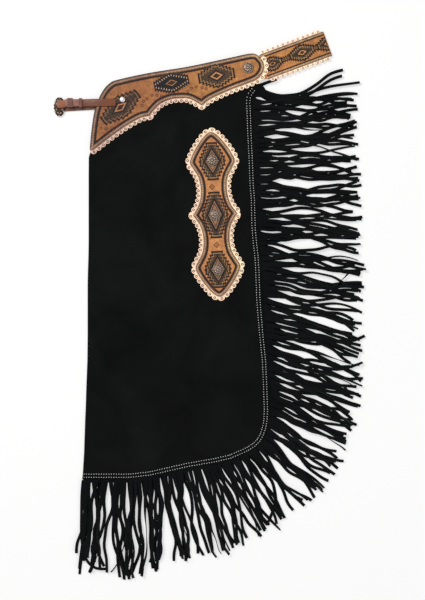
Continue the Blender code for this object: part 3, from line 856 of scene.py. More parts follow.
# The strands nearest the waist dip away from it, then rise: over how far, and by how much.
DIP_ALONG = 60.0
DIP_ANGLE = math.radians(-36)
RISE_ANGLE = math.radians(14)
# Near the waist only the upper leg's strands and the laid ones show.
LOWER_START = 46.0


def strand_stations(along, level, draw):
    """A strand's course: middle, heading, twist, half width and height at each step."""
    angle, length = lookup(FRINGE_LAY, along)
    crowd = sum(math.sin(math.tau * along / wave + level.seed) for wave in (31, 53, 88))
    wild = 1.0 + 0.5 * clean_smooth(1 - along / 90)
    start = math.radians(min(angle + 1.3 * crowd + wild * draw.gauss(0, 3.4), 11.5))
    length = length + draw.uniform(-10, 15) - 8 * clean_smooth((along - 780) / 120)
    middle = fringe_edge.offset(along, HEADING_GAP + HEADING_WIDTH * 0.3, NORMAL_SPAN)
    wave = draw.uniform(100, 230)
    phase = draw.uniform(0, math.tau)
    sway = math.radians(draw.uniform(5, 18)) * wild
    kink = math.radians(draw.gauss(0, 5))
    curl = math.radians(draw.gauss(0, 9)) - math.radians(14) * clean_smooth(1 - along / 60)
    if draw.random() < 0.07:
        curl *= 4.0
    lie = draw.choice((0.0, 0.0, 0.0, 0.6, -0.6))
    turn = draw.gauss(0, 0.4) if draw.random() < 0.8 else draw.uniform(-2.6, 2.6)
    lift = level.lift + draw.uniform(0, 2.6)
    step = length / STRAND_STEPS
    root = ROOT_REACH[0] + ROOT_REACH[1] * math.sin(along * 1.7 + level.seed)
    wider = ROOT_WIDER * (1 - 0.8 * clean_smooth((along - HEM_START) / HEM_TURN))
    dip = clean_smooth(1 - along / DIP_ALONG)
    wider *= 1 - 0.8 * dip
    dipping = DIP_ANGLE * (0.7 + 0.5 * math.sin(phase * 5))
    rising = RISE_ANGLE * (0.7 + 1.1 * math.sin(phase * 3))
    found = []
    for i in range(STRAND_STEPS + 1):
        share = i / STRAND_STEPS
        travelled = length * share
        ease = clean_smooth(share * 5)
        heading = start + sway * ease * math.sin(math.tau * travelled / wave + phase)
        heading += dip * dipping * (1 - clean_smooth(share * 3.4))
        heading += dip * rising * (clean_smooth(share * 3 - 0.4) - clean_smooth(share * 3 - 1.8))
        heading += kink * math.sin(math.tau * travelled / 47 + phase * 2) * ease + curl * share**2
        twist = (lie * math.sin(share * 6 + phase) + turn * share) * ease
        half = STRAND_WIDTH / 2 * (1 - 0.1 * share) + wider * (1 - clean_smooth(travelled / root))
        rise = lift * (1 - 0.35 * share) + abs(math.sin(twist)) * half
        found.append((middle.copy(), heading, twist, half, rise))
        middle += Vector((math.cos(heading), math.sin(heading))) * step
    return found


def laid_stations(strand, level):
    """The course of a strand that is laid through its listed turns."""
    middle = Vector((strand.x, strand.y))
    found = []
    for i in range(STRAND_STEPS + 1):
        share = i / STRAND_STEPS
        heading = math.radians(lookup(strand.turns, share)[0] + 3 * math.sin(share * 7))
        twist = 0.5 * math.sin(share * 5)
        half = STRAND_WIDTH / 2 * (1 - 0.2 * share)
        found.append((middle.copy(), heading, twist, half, level.lift + 1.0))
        middle += Vector((math.cos(heading), math.sin(heading))) * (strand.length / STRAND_STEPS)
    return found


def add_strand(bm, stations):
    made = bmesh.ops.create_grid(bm, x_segments=STRAND_STEPS, y_segments=2, size=0.5)
    for vert in made["verts"]:
        middle, heading, twist, half, rise = stations[round((vert.co.x + 0.5) * STRAND_STEPS)]
        side = vert.co.y * 2
        crown = 0.35 * (1 - abs(side))
        reach = side * half * math.cos(twist) - crown * math.sin(twist)
        vert.co = (
            middle.x - math.sin(heading) * reach,
            middle.y + math.cos(heading) * reach,
            rise + side * half * math.sin(twist) + crown * math.cos(twist),
        )


def make_fringes():
    made = {}
    for level in FRINGE_LEVELS:
        draw = random.Random(level.seed)
        places = Path(fringe_edge.points, side=-1).every(STRAND_PITCH)
        start = 0.0
        for name, end in FRINGE_RUNS:
            bm = bmesh.new()
            for along in places:
                if start <= along < end:
                    near = along + level.first + draw.uniform(-3.2, 3.2)
                    near = min(max(near, 3.2), fringe_edge.length - 3.2)
                    stations = strand_stations(near, level, draw)
                    if level.leg == "upper" or near > LOWER_START:
                        add_strand(bm, stations)
            for strand in LAID_STRANDS:
                if strand.leg == level.leg and start <= strand.along < end:
                    add_strand(bm, laid_stations(strand, level))
            add_heading(bm, level, start, end)
            node = "fringe_%s_%s" % (name, level.leg)
            piece = finish_piece(node + "_cut", bm, fringe_suede, (node,), recalc=False)
            wall = piece.modifiers.new("thickness", "SOLIDIFY")
            wall.thickness = STRAND_THICK * MM
            wall.offset = 0.0
            made[node] = piece
            start = end
    return made


def add_heading(bm, level, start, end):
    """The uncut strip that the strands of a run hang from."""
    count = max(2, round((end - start) / 6))
    made = bmesh.ops.create_grid(bm, x_segments=count, y_segments=1, size=0.5)
    for vert in made["verts"]:
        along = start + (vert.co.x + 0.5) * (end - start)
        along = min(max(along, 0.6), fringe_edge.length - 0.4)
        away = HEADING_GAP + HEADING_WIDTH if vert.co.y > 0 else -HEADING_TUCK
        place = fringe_edge.offset(along, away, NORMAL_SPAN)
        vert.co = (place.x, place.y, level.heading + 0.6)


# Tooling


Motif = namedtuple("Motif", "x y turn long wide end top teeth tooth", defaults=(6, 4.2))
Band = namedtuple("Band", "inset colour")
Heart = namedtuple("Heart", "long wide colour")
Ticks = namedtuple("Ticks", "inset colour")
Dress = namedtuple("Dress", "bands heart ticks")
TIP_SHARE = 0.35
SLOPE_IN = 0.8


def corner_run(motif, inset):
    """The two ends of a motif's sloping side, moved in."""
    start = Vector((motif.long - inset, max(motif.end - inset * SLOPE_IN, 0.4)))
    end = Vector((max(motif.top - inset * SLOPE_IN, 0.4), motif.wide - inset))
    return start, end


def toothed_outline(motif, inset):
    """A lozenge with flat ends, whose sloping sides are cut in pointed teeth."""
    start, end = corner_run(motif, inset)
    out = Vector((end.y - start.y, start.x - end.x)).normalized() * motif.tooth
    quarter = []
    for k in range(motif.teeth):
        quarter.append(tuple(start.lerp(end, k / motif.teeth)))
        quarter.append(tuple(start.lerp(end, (k + TIP_SHARE) / motif.teeth) + out))
    quarter.append(tuple(end))
    left = [(-u, v) for u, v in reversed(quarter)]
    low_left = [(-u, -v) for u, v in quarter]
    low_right = [(u, -v) for u, v in reversed(quarter)]
    peak = end.y + motif.tooth * 0.7
    return quarter + [(0, peak)] + left + low_left + [(0, -peak)] + low_right


def lozenge(long, wide):
    return [(long, 0), (0, wide), (-long, 0), (0, -wide)]


def placed(points, x, y, turn):
    c, s = math.cos(turn), math.sin(turn)
    return [Vector((x + c * u - s * v, y + s * u + c * v)) for u, v in points]


def without_repeats(points):
    found = [points[0]]
    for p in points[1:]:
        if (p - found[-1]).length > 0.05:
            found.append(p)
    if (found[-1] - found[0]).length < 0.05:
        found.pop()
    return found


def cut_off(points, limits):
    """Cuts an outline off at two lines across x, where a belt begins and folds."""
    if not limits:
        return without_repeats(points)
    found = []
    for i, p in enumerate(points):
        q = points[(i + 1) % len(points)]
        if limits[0] <= p.x <= limits[1]:
            found.append(p)
        for limit in limits:
            if (p.x - limit) * (q.x - limit) < 0:
                found.append(p.lerp(q, (limit - p.x) / (q.x - p.x)))
    return without_repeats(found)


def tick_spots(motif, inset, bottom, turn):
    """Short ticks stamped across a motif's bands, one at each tooth."""
    start, end = corner_run(motif, inset)
    found = []
    for k in range(motif.teeth + 1):
        at = start.lerp(end, k / motif.teeth)
        for a in (-1, 1):
            for b in (-1, 1):
                place = placed([(at.x * a, at.y * b)], motif.x, motif.y, turn)[0]
                lean = turn + math.atan2(b * (start.x - end.x), a * (end.y - start.y))
                found.append(spot(place.x, place.y, bottom, lean, TICK_SIZE))
    return found


def add_motif(bm, motif, bottom, dress, limits=None):
    """Nested toothed bands, then nested plain lozenges, each a little higher."""
    turn = math.radians(motif.turn)
    z = bottom - 0.02
    for band in dress.bands:
        z += 0.04
        outline = placed(toothed_outline(motif, band.inset), motif.x, motif.y, turn)
        cut_plate(bm, [cut_off(outline, limits)], bottom - 0.2, z, band.colour)
    ticks = tick_spots(motif, dress.ticks.inset, z, turn)
    if limits:
        ticks = [m for m in ticks if limits[0] + TICK_SIZE[0] < m[0][3] < limits[1] - TICK_SIZE[0]]
    repeat(bm, bead_shape(), ticks, dress.ticks.colour)
    for part in dress.heart:
        z += 0.04
        outline = placed(lozenge(motif.long * part.long, motif.wide * part.wide), motif.x, motif.y, turn)
        cut_plate(bm, [cut_off(outline, limits)], bottom - 0.2, z, part.colour)


TICK_SIZE = (2.0, 0.9, 0.2)
# Each set of bands starts with a dark halo round the motif: part burnishing, part painted shade.
BROWN_BANDS = (
    Band(-0.9, BURNISHED_AND_SHADED),
    Band(0.0, BLACKENED_AND_HOLE_SHADOW),
    Band(3.0, OLIVE_LIGHT),
    Band(5.4, BLACKENED_AND_HOLE_SHADOW),
    Band(7.0, OLIVE),
)
INKED_BANDS = (
    Band(-0.9, BURNISHED_AND_SHADED),
    Band(0.0, INKED),
    Band(3.4, INKED_LIGHT),
    Band(4.4, INKED),
)
HEART = (
    Heart(0.52, 0.56, BLACKENED_AND_HOLE_SHADOW),
    Heart(0.42, 0.44, SMOKE),
    Heart(0.34, 0.36, PALE),
    Heart(0.23, 0.24, BLACKENED_AND_HOLE_SHADOW),
    Heart(0.14, 0.14, BURNT),
)
INKED_HEART = (
    Heart(0.34, 0.34, PALE),
    Heart(0.28, 0.27, INKED),
    Heart(0.18, 0.17, BURNT),
)
OVERLAY_HEART = (
    Heart(0.76, 0.72, BLACKENED_AND_HOLE_SHADOW),
    Heart(0.62, 0.56, ROSE),
    Heart(0.54, 0.47, SMOKE),
    Heart(0.46, 0.38, ROSE),
)
BROWN = Dress(BROWN_BANDS, HEART, Ticks(9.4, BLACKENED_AND_HOLE_SHADOW))
INKED_OVER = Dress(INKED_BANDS, INKED_HEART, Ticks(3.2, BEAD))
RAYED = Dress(BROWN_BANDS, OVERLAY_HEART, Ticks(9.0, BLACKENED_AND_HOLE_SHADOW))
YOKE_MOTIFS = (
    (Motif(-176.6, 393.6, 39.0, 45.0, 20.0, 5.5, 4.0, 5, 4.8), BROWN),
    (Motif(-74.6, 442.6, 12.0, 35.0, 18.0, 6.0, 5.0, 6, 3.8), INKED_OVER),
    (Motif(15.4, 456.6, 9.0, 36.5, 21.5, 5.5, 4.0, 5, 4.6), BROWN),
)
YOKE_RINGS = (
    (-133.6, 397.6),
    (-130.6, 405.6),
    (-123.6, 410.6),
    (-113.6, 417.6),
    (-103.6, 417.6),
    (-94.6, 416.6),
    (-215.6, 351.6),
    (-205.6, 350.6),
    (-193.6, 352.6),
    (-181.6, 356.6),
    (-201.6, 342.6),
    (-41.6, 425.6),
    (-34.6, 431.6),
    (-25.6, 434.6),
    (-13.6, 432.6),
    (-5.6, 430.6),
)
OVERLAY_MOTIFS = (
    Motif(0.0, 106.0, 90.0, 37.5, 24.0, 6.5, 3.0, 5, 4.6),
    Motif(0.0, -1.5, 90.0, 46.0, 24.0, 6.5, 4.0, 6, 4.6),
    Motif(0.0, -110.5, 90.0, 36.5, 24.0, 6.5, 3.0, 5, 4.6),
)
OVERLAY_DIAMONDS = ((-3.2, 54.9), (-0.4, -61.5))
BELT_MOTIFS = (
    Motif(19.0, 0.0, 0.0, 21.0, 13.0, 3.0, 4.0, 4, 3.6),
    Motif(82.5, 0.5, 0.0, 26.5, 14.6, 4.0, 5.0, 5, 3.4),
    Motif(137.0, 0.0, 0.0, 22.0, 13.0, 3.0, 4.0, 4, 3.6),
)
BELT_CHAINS = ((39.5, 57.0), (108.5, 116.0))
CHAIN_PITCH = 4.6
# The blocks that chain two belt motifs together: reach across, height and dye.
CHAIN_BLOCKS = ((7.4, 0.16, BLACKENED_AND_HOLE_SHADOW), (3.8, 0.20, OLIVE_LIGHT), (1.8, 0.24, BLACKENED_AND_HOLE_SHADOW))

FIELD_INSET = 9.0
BORDER_WIDTH = 6.2
BEAD_INSET = 3.3
BEAD_RADIUS = 1.25
BEAD_PITCH = 3.3
FIELD_DROP = 0.15


def tooled_panel(bm, path, bottom, top, tan):
    """A tooled plate: a beaded border, a dark groove, and a field that takes the motifs."""
    outline = path.points[:-1]
    floor = top - 0.5
    cut_plate(bm, [outline], bottom, floor, GROOVE, side_colour=EDGE)
    border = [outline, inset_outline(path, BORDER_WIDTH)]
    cut_plate(bm, border, floor - 0.1, top - 0.1, BORDER, 0.25, EDGE)
    beads = [path.offset(s, -BEAD_INSET) for s in path.every(BEAD_PITCH)]
    add_beads(bm, beads, BEAD_RADIUS, 0.4, top - 0.15, BEAD)
    # A dark band inside the groove, round the field: part burnishing, part painted shade.
    rim = inset_outline(path, FIELD_INSET, 0.9)
    cut_plate(bm, [rim], floor - 0.1, top - FIELD_DROP - 0.04, BURNISHED_AND_SHADED, 0.2, GROOVE)
    field = inset_outline(path, FIELD_INSET + 1.6)
    cut_plate(bm, [field], floor - 0.1, top - FIELD_DROP, tan)


def make_yokes():
    for half, bottom, top, shift in (
        ("upper", UPPER_TOOLED_Z, UPPER_TOP_Z, (0, 0)),
        ("lower", 0.0, LOWER_TOOLED, LOWER_YOKE_SHIFT),
    ):
        bm = new_bmesh()
        tooled_panel(bm, Path(yoke_curve, closed=True), bottom, top, TAN)
        face = top - FIELD_DROP
        for motif, dress in YOKE_MOTIFS:
            add_motif(bm, motif, face, dress)
        rings = [spot(x, y, face - 0.05) for x, y in YOKE_RINGS]
        repeat(bm, ring_shape(*YOKE_STAMP), rings, STAMPED)
        if half == "lower":
            turn_over(bm, bottom, top)
        bmesh.ops.translate(bm, vec=(shift[0], shift[1], 0), verts=bm.verts)
        finish_piece("yoke_%s_tooled" % half, bm, tooled_leather, ("yoke_" + half,))


def turn_over(bm, bottom, top):
    """The same piece on the other leg, with its tooled face towards the surface."""
    for vert in bm.verts:
        vert.co.z = bottom + top - vert.co.z
    lowest = min(v.co.z for v in bm.verts)
    bmesh.ops.translate(bm, vec=(0, 0, bottom - lowest), verts=bm.verts)


def trim_stamps(bm, path, scallop, bottom):
    """A ring stamped in the middle of each scallop."""
    places = [path.offset(along, STAMP_AWAY) for along in path.every(scallop.pitch)]
    repeat(bm, ring_shape(*TRIM_STAMP), [spot(at.x, at.y, bottom) for at in places], RINGED)


def make_yoke_trims():
    run = Path(yoke_curve[: YOKE_TRIM_LAST * CURVE_STEPS + 1])
    edge = scalloped_edge(run, YOKE_SCALLOP) + [run.offset(run.length, YOKE_SCALLOP.valley)]
    for half, bottom, near in (("upper", UPPER_TRIM_Z, -TRIM_TUCK), ("lower", LOWER_TRIM_Z, PLAIN_TRIM_GAP)):
        bm = new_bmesh()
        inner = [run.offset(s, near) for s in reversed(run.stops)]
        cut_plate(bm, [edge + inner], bottom, bottom + TRIM, CREAM, 0.25, PALE)
        trim_stamps(bm, run, YOKE_SCALLOP, bottom + TRIM - 0.05)
        if half == "lower":
            turn_over(bm, bottom, bottom + TRIM)
            bmesh.ops.translate(bm, vec=(LOWER_YOKE_SHIFT[0], LOWER_YOKE_SHIFT[1], 0), verts=bm.verts)
        name = "yoke_trim_" + half
        finish_piece(name + "_stamped", bm, trim_leather, (name,))


def turn_overlay(bm):
    matrix = Matrix.LocRotScale(
        (OVERLAY_CENTRE[0], OVERLAY_CENTRE[1], 0), Matrix.Rotation(OVERLAY_TURN, 3, "Z"), None
    )
    bmesh.ops.transform(bm, matrix=matrix, verts=bm.verts)


def make_overlays():
    path = Path(overlay_outline(), closed=True)
    for half, bottom, top in (("upper", UPPER_TOOLED_Z, UPPER_TOP_Z), ("lower", 0.0, LOWER_TOOLED)):
        bm = new_bmesh()
        tooled_panel(bm, path, bottom, top, OVERLAY_TAN)
        face = top - FIELD_DROP
        for motif in OVERLAY_MOTIFS:
            add_motif(bm, motif, face, RAYED)
        for x, y in OVERLAY_DIAMONDS:
            for size, colour in ((6.2, STAMPED), (3.8, OVERLAY_TAN), (1.8, STAMPED)):
                diamond = placed(lozenge(size, size), x, y, 0)
                cut_plate(bm, [diamond], face - 0.2, face + 0.3 - size * 0.04, colour)
        if half == "lower":
            turn_over(bm, bottom, top)
        turn_overlay(bm)
        finish_piece("overlay_%s_tooled" % half, bm, tooled_leather, ("overlay_" + half,))
    edge = scalloped_edge(path, OVERLAY_SCALLOP)
    ring = [path.offset(s, PLAIN_TRIM_GAP) for s in path.stops[:-1]]
    for half, bottom, outlines in (("upper", UPPER_TRIM_Z, [edge]), ("lower", LOWER_TRIM_Z, [edge, ring])):
        bm = new_bmesh()
        cut_plate(bm, outlines, bottom, bottom + TRIM, CREAM, 0.25, PALE)
        trim_stamps(bm, path, OVERLAY_SCALLOP, bottom + TRIM - 0.05)
        if half == "lower":
            turn_over(bm, bottom, bottom + TRIM)
        turn_overlay(bm)
        name = "overlay_trim_" + half
        finish_piece(name + "_stamped", bm, trim_leather, (name,))


# Belt


def belt_line_place(bm):
    matrix = Matrix.LocRotScale(
        (BELT_START[0], BELT_START[1], 0), Matrix.Rotation(BELT_TURN, 3, "Z"), None
    )
    bmesh.ops.transform(bm, matrix=matrix, verts=bm.verts)


BELT_TOOLED = (0.5, BELT_FOLD_U + 1.2)
# The belt's edges: from and to, inside its own edge, with height and dye; the innermost strip, beside the groove, is
# part burnishing, part painted shade.
BELT_EDGES = ((0.2, 5.4, 0.16, BORDER), (5.4, 7.2, 0.06, GROOVE), (7.2, 8.0, 0.10, BURNISHED_AND_SHADED))


def slope_belt(bm, start, end):
    """Leans a flat half of the belt from its bend down to its fold."""
    for vert in bm.verts:
        share = (vert.co.x - BELT_BEND_U) / (BELT_FOLD_U - BELT_BEND_U)
        vert.co.z += start + (end - start) * min(max(share, 0.0), 1.0)


def belt_tooling(bm):
    """Borders, grooves, motifs and the stepped chain between them, on a level belt."""
    low, high = BELT_TOOLED
    half = BELT_HALF_WIDTH
    for sign in (1, -1):
        for a, b, z, colour in BELT_EDGES:
            a, b = half - a, half - b
            strip = [(low, sign * a), (high, sign * a), (high, sign * b), (low, sign * b)]
            cut_plate(bm, [[Vector(p) for p in strip]], -0.3, z, colour)
        count = int((high - low) / BEAD_PITCH)
        beads = [(low + 1 + BEAD_PITCH * i, sign * (half - BEAD_INSET)) for i in range(count)]
        add_beads(bm, beads, BEAD_RADIUS, 0.35, 0.12, BEAD)
    line = half - BELT_EDGES[-1][1]
    field = [(low, -line), (high, -line), (high, line), (low, line)]
    cut_plate(bm, [[Vector(p) for p in field]], -0.3, 0.12, BELT_TAN)
    for start, end in BELT_CHAINS:
        for i in range(round((end - start) / CHAIN_PITCH) + 1):
            for tall, z, colour in CHAIN_BLOCKS:
                block = placed(lozenge(tall * 0.6, tall), start + CHAIN_PITCH * i, 0, 0)
                cut_plate(bm, [block], -0.1, z, colour)
    for motif in BELT_MOTIFS:
        add_motif(bm, motif, 0.14, BROWN, BELT_TOOLED)


def belt_centre_line():
    """The belt's middle, as distances along it and heights: out, round the fold, back."""
    out = [(u, BELT_LOWER_Z[0]) for u, _ in BELT_TAB]
    back = [(u, BELT_UPPER_Z[0]) for u, _ in reversed(BELT_TAB)]
    middle = (BELT_LOWER_Z[1] + BELT_UPPER_Z[1]) / 2
    radius = (BELT_UPPER_Z[1] - BELT_LOWER_Z[1]) / 2
    steps = 10
    for k in range(steps + 1):
        turn = math.pi * k / steps
        out.append((BELT_FOLD_U + radius * math.sin(turn), middle - radius * math.cos(turn)))
    return out + back


def make_belt():
    stations = belt_centre_line()
    bm = new_bmesh()
    bmesh.ops.create_grid(bm, x_segments=len(stations) - 1, y_segments=1, size=0.5)
    for vert in bm.verts:
        u, z = stations[round((vert.co.x + 0.5) * (len(stations) - 1))]
        half_width = lookup(BELT_TAB, u)[0]
        vert.co = (u, math.copysign(half_width, vert.co.y), z)
    paint(bm, bm.faces, BELT_TAN)
    belt_line_place(bm)
    core = finish_piece("belt_core", bm, tooled_leather, ("belt",))
    wall = core.modifiers.new("wall", "SOLIDIFY")
    wall.thickness = BELTING * MM
    wall.offset = 0.0
    wall.use_even_offset = True
    for half, levels, sign in (("upper", BELT_UPPER_Z, 1), ("lower", BELT_LOWER_Z, -1)):
        bm = new_bmesh()
        belt_tooling(bm)
        if sign < 0:
            bmesh.ops.scale(bm, vec=(1, 1, -0.9), verts=bm.verts)
        slope_belt(bm, levels[0] + sign * BELTING / 2, levels[1] + sign * BELTING / 2)
        belt_line_place(bm)
        finish_piece("belt_tooling_" + half, bm, tooled_leather)
    run = Path([(0, 0), (BELT_FOLD_U - BELT_BEND_U - BELT_TRIM_SHORT, 0)])
    edge = scalloped_edge(run, BELT_SCALLOP) + [run.offset(run.length, BELT_SCALLOP.valley)]
    strip = edge + [Vector((run.length, -GAP)), Vector((0, -GAP))]
    for half, levels in (("lower", BELT_LOWER_Z), ("upper", BELT_UPPER_Z)):
        for side, sign in (("low", 1), ("high", -1)):
            bm = new_bmesh()
            outline = [Vector((BELT_BEND_U + p.x, sign * (p.y - BELT_HALF_WIDTH))) for p in strip]
            cut_plate(bm, [outline], -TRIM / 2, TRIM / 2, BELT_CREAM, 0.2, RINGED)
            row = -sign * (BELT_HALF_WIDTH + BELT_STAMP_AWAY)
            places = [BELT_BEND_U + along for along in run.every(BELT_SCALLOP.pitch)]
            stamps = [spot(u, row, TRIM / 2 - 0.05) for u in places]
            repeat(bm, ring_shape(*BELT_STAMP), stamps, RINGED)
            slope_belt(bm, levels[0], levels[1])
            belt_line_place(bm)
            name = "belt_trim_%s_%s" % (side, half)
            finish_piece(name + "_stamped", bm, trim_leather, (name,))
    return core


# Hardware


def spun_dome(bm, profile, x, y, z, colour, steps=36):
    verts = [bm.verts.new((x + r, y, z + h)) for r, h in profile]
    edges = [bm.edges.new(pair) for pair in zip(verts, verts[1:])]
    before = set(bm.faces)
    bmesh.ops.spin(
        bm,
        geom=verts + edges,
        cent=(x, y, z),
        axis=(0, 0, 1),
        angle=math.tau,
        steps=steps,
        use_merge=True,
    )
    bmesh.ops.remove_doubles(bm, verts=bm.verts, dist=0.0005)
    paint(bm, set(bm.faces) - before, colour)


def add_concho(bm, x, y, radius):
    """A cast concho: a berried edge, a dark channel, rays, and a boss."""
    z = UPPER_TOP_Z + GAP
    profile = (
        (0, 0),
        (radius * 0.97, 0),
        (radius, 0.6),
        (radius * 0.96, 1.3),
        (radius * 0.80, 1.2),
        (radius * 0.72, 1.5),
        (radius * 0.45, 2.4),
        (0, 2.7),
    )
    spun_dome(bm, profile, x, y, z, CONCHO_GREY)
    turns = [math.tau * k / 20 for k in range(20)]
    edge = [(x + radius * 0.88 * math.cos(t), y + radius * 0.88 * math.sin(t)) for t in turns]
    add_beads(bm, edge, radius * 0.12, 1.2, z + 1.3, SILVER_BRIGHT)
    reach = radius * 0.48
    rays = [
        spot(x + reach * math.cos(t), y + reach * math.sin(t), z + 1.9, t, (radius * 0.24, radius * 0.10, 1.0))
        for t in turns[::2]
    ]
    repeat(bm, bead_shape(8, 5), rays, SILVER_BRIGHT)
    add_beads(bm, [(x, y)], radius * 0.2, 1.5, z + 2.4, SILVER_BRIGHT)


def make_hardware():
    up = Vector((-math.sin(OVERLAY_TURN), math.cos(OVERLAY_TURN)))
    places = [(name, Vector(OVERLAY_CENTRE) + up * along, CONCHO_RADIUS) for name, along in CONCHO_PLACES]
    places.append(("yoke_snap", Vector(SNAP_PLACE), CONCHO_RADIUS - 0.5))
    for name, at, radius in places:
        bm = new_bmesh()
        add_concho(bm, at.x, at.y, radius)
        finish_piece(name + "_cast", bm, antique_silver, (name,), crisp=50.0)
    bm = new_bmesh()
    r = RIVET_RADIUS
    profile = ((0, 0), (r, 0), (r, 0.5), (r * 0.9, 1.2), (r * 0.6, 1.9), (r * 0.25, 2.15), (0, 2.2))
    spun_dome(bm, profile, RIVET_PLACE[0], RIVET_PLACE[1], UPPER_TOP_Z + GAP, dye(250, 248, 244))
    finish_piece("yoke_rivet_domed", bm, bright_nickel, ("yoke_rivet",), crisp=60.0)


BUCKLE_EYE = (3.4, 6.8)
BUCKLE_EYE_UP = 4.4


def make_buckle():
    """A cast frame: a berried oval rail round an open middle."""
    count = BUCKLE_LOBES * 4
    rails = (
        (BUCKLE_EYE, 0.0, 0.4, SILVER_DARK),
        (BUCKLE_EYE, 0.0, 1.8, SILVER_DARK),
        ((5.6, 12.2), 0.0, 2.6, SILVER_DARK),
        ((7.2, 14.6), 0.0, 2.0, SILVER_DARK),
        (BUCKLE_HALF, 0.6, 2.2, SILVER_DARK),
        (BUCKLE_HALF, 1.6, 1.2, SILVER_DARK),
        (BUCKLE_HALF, 1.4, 0.0, SILVER_DARK),
        (BUCKLE_EYE, 0.0, 0.0, SILVER_DARK),
    )
    bm = new_bmesh()
    loops = []
    for half, lobe, z, _ in rails:
        verts = []
        for k in range(count):
            turn = math.tau * k / count
            grow = lobe * abs(math.sin(turn * BUCKLE_LOBES / 2))
            x = BUCKLE_CENTRE[0] + (half[0] + grow) * math.cos(turn)
            y = BUCKLE_CENTRE[1] + (half[1] + grow) * math.sin(turn)
            y += BUCKLE_EYE_UP if half == BUCKLE_EYE else 0
            verts.append(bm.verts.new((x, y, BUCKLE_Z + z)))
        loops.append([bm.edges.new(pair) for pair in zip(verts, verts[1:] + verts[:1])])
    for (low, high), rail in zip(zip(loops, loops[1:]), rails):
        made = bmesh.ops.bridge_loops(bm, edges=low + high)
        paint(bm, made["faces"], rail[3])
    bmesh.ops.remove_doubles(bm, verts=bm.verts, dist=0.01)
    for k in range(BUCKLE_LOBES):
        turn = math.tau * (k + 0.5) / BUCKLE_LOBES
        x = BUCKLE_CENTRE[0] + (BUCKLE_HALF[0] - 0.4) * math.cos(turn)
        y = BUCKLE_CENTRE[1] + (BUCKLE_HALF[1] - 0.4) * math.sin(turn)
        add_beads(bm, [(x, y)], 1.8, 1.1, BUCKLE_Z + 2.1, SILVER_BRIGHT if k % 3 == 1 else SILVER_DARK)
    for k in range(8):
        turn = math.tau * (k + 0.5) / 8
        x = BUCKLE_CENTRE[0] + 6.6 * math.cos(turn)
        y = BUCKLE_CENTRE[1] + 13.6 * math.sin(turn)
        lean = math.atan2(math.cos(turn) * 1.8, -math.sin(turn))
        repeat(bm, bead_shape(8, 5), [spot(x, y, BUCKLE_Z + 2.3, lean, (2.6, 1.1, 0.9))], SILVER_BRIGHT)
    finish_piece("buckle_frame_cast", bm, antique_silver, ("buckle_frame",), crisp=50.0)


TIP_ROUNDING = 6.5
TIP_END = -284.5
# The strap's hole is a dark disc of painted shadow, not a cut.
HOLE_SHADOW_PLACE = (-285.6, 402.4)
HOLE_SHADOW_RADIUS = 1.8
STRAP_ROUND = 0.55


def strap_piece(name, node, stations, width, colour, tip=None):
    """A strap through its stations, rounded where it has a tip of its own dye."""
    bm = new_bmesh()
    bmesh.ops.create_grid(bm, x_segments=len(stations) - 1, y_segments=1, size=0.5)
    for vert in bm.verts:
        station = stations[round((vert.co.x + 0.5) * (len(stations) - 1))]
        vert.co = (station.x, STRAP_Y + station.aside + math.copysign(width / 2, vert.co.y), station.z)
    top = bmesh.ops.extrude_face_region(bm, geom=bm.faces[:])
    raised = [v for v in top["geom"] if isinstance(v, bmesh.types.BMVert)]
    bmesh.ops.translate(bm, vec=(0, 0, STRAP), verts=raised)
    if tip:
        first = stations[0].x
        corners = [e for e in bm.edges if all(abs(v.co.x - first) < 0.01 for v in e.verts)]
        corners = [e for e in corners if abs(e.verts[0].co.z - e.verts[1].co.z) > 1]
        bmesh.ops.bevel(
            bm,
            geom=corners,
            offset=TIP_ROUNDING,
            offset_type="OFFSET",
            segments=6,
            profile=0.5,
            affect="EDGES",
            material=-1,
        )
    for face in bm.faces:
        face.normal_update()
    rim = [
        e
        for e in bm.edges
        if e.is_manifold and e.calc_face_angle(0) > math.radians(60)
    ]
    bmesh.ops.bevel(
        bm,
        geom=rim,
        offset=STRAP_ROUND,
        offset_type="OFFSET",
        segments=3,
        profile=0.5,
        affect="EDGES",
        clamp_overlap=True,
        material=-1,
    )
    paint(bm, bm.faces, colour)
    if tip:
        paint(bm, [f for f in bm.faces if f.calc_center_median().x < TIP_END], tip)
        # Painted shadow of the strap's hole: a dark disc on the tip.
        add_beads(bm, [HOLE_SHADOW_PLACE], HOLE_SHADOW_RADIUS, 0.2, stations[0].z + STRAP, BLACKENED_AND_HOLE_SHADOW)
    finish_piece(name, bm, strap_leather, (node,), crisp=60.0)


def make_straps():
    strap_piece("strap_upper_leather", "strap_upper", STRAP_UPPER, STRAP_WIDTH, STRAP_BROWN, STRAP_TIP)
    strap_piece("strap_lower_leather", "strap_lower", STRAP_LOWER, STRAP_WIDTH, STRAP_DARK)
    strap_piece("strap_end_leather", "strap_end", STRAP_END, STRAP_END_WIDTH, STRAP_FREE)


def make_keepers():
    """Flat loops round the strap."""
    low = BUCKLE_Z + BUCKLE_THICK
    high = low + STRAP * 2 + GAP * 3
    half = STRAP_WIDTH / 2 + GAP
    wall = KEEPER_WALL
    for name, x, width in KEEPERS:
        bm = new_bmesh()
        inner = [(low, -half), (high, -half), (high, half), (low, half)]
        outer = [
            (low - wall, -half - wall),
            (high + wall, -half - wall),
            (high + wall, half + wall),
            (low - wall, half + wall),
        ]
        cut_plate(bm, [[Vector(p) for p in outer], [Vector(p) for p in inner]], 0, width, KEEPER_EDGE, 0, KEEPER)
        turned = Matrix(((0, 0, 1, x - width / 2), (0, 1, 0, STRAP_Y), (1, 0, 0, 0), (0, 0, 0, 1)))
        bmesh.ops.transform(bm, matrix=turned, verts=bm.verts)
        finish_piece(name + "_leather", bm, strap_leather, (name,))


# Studio


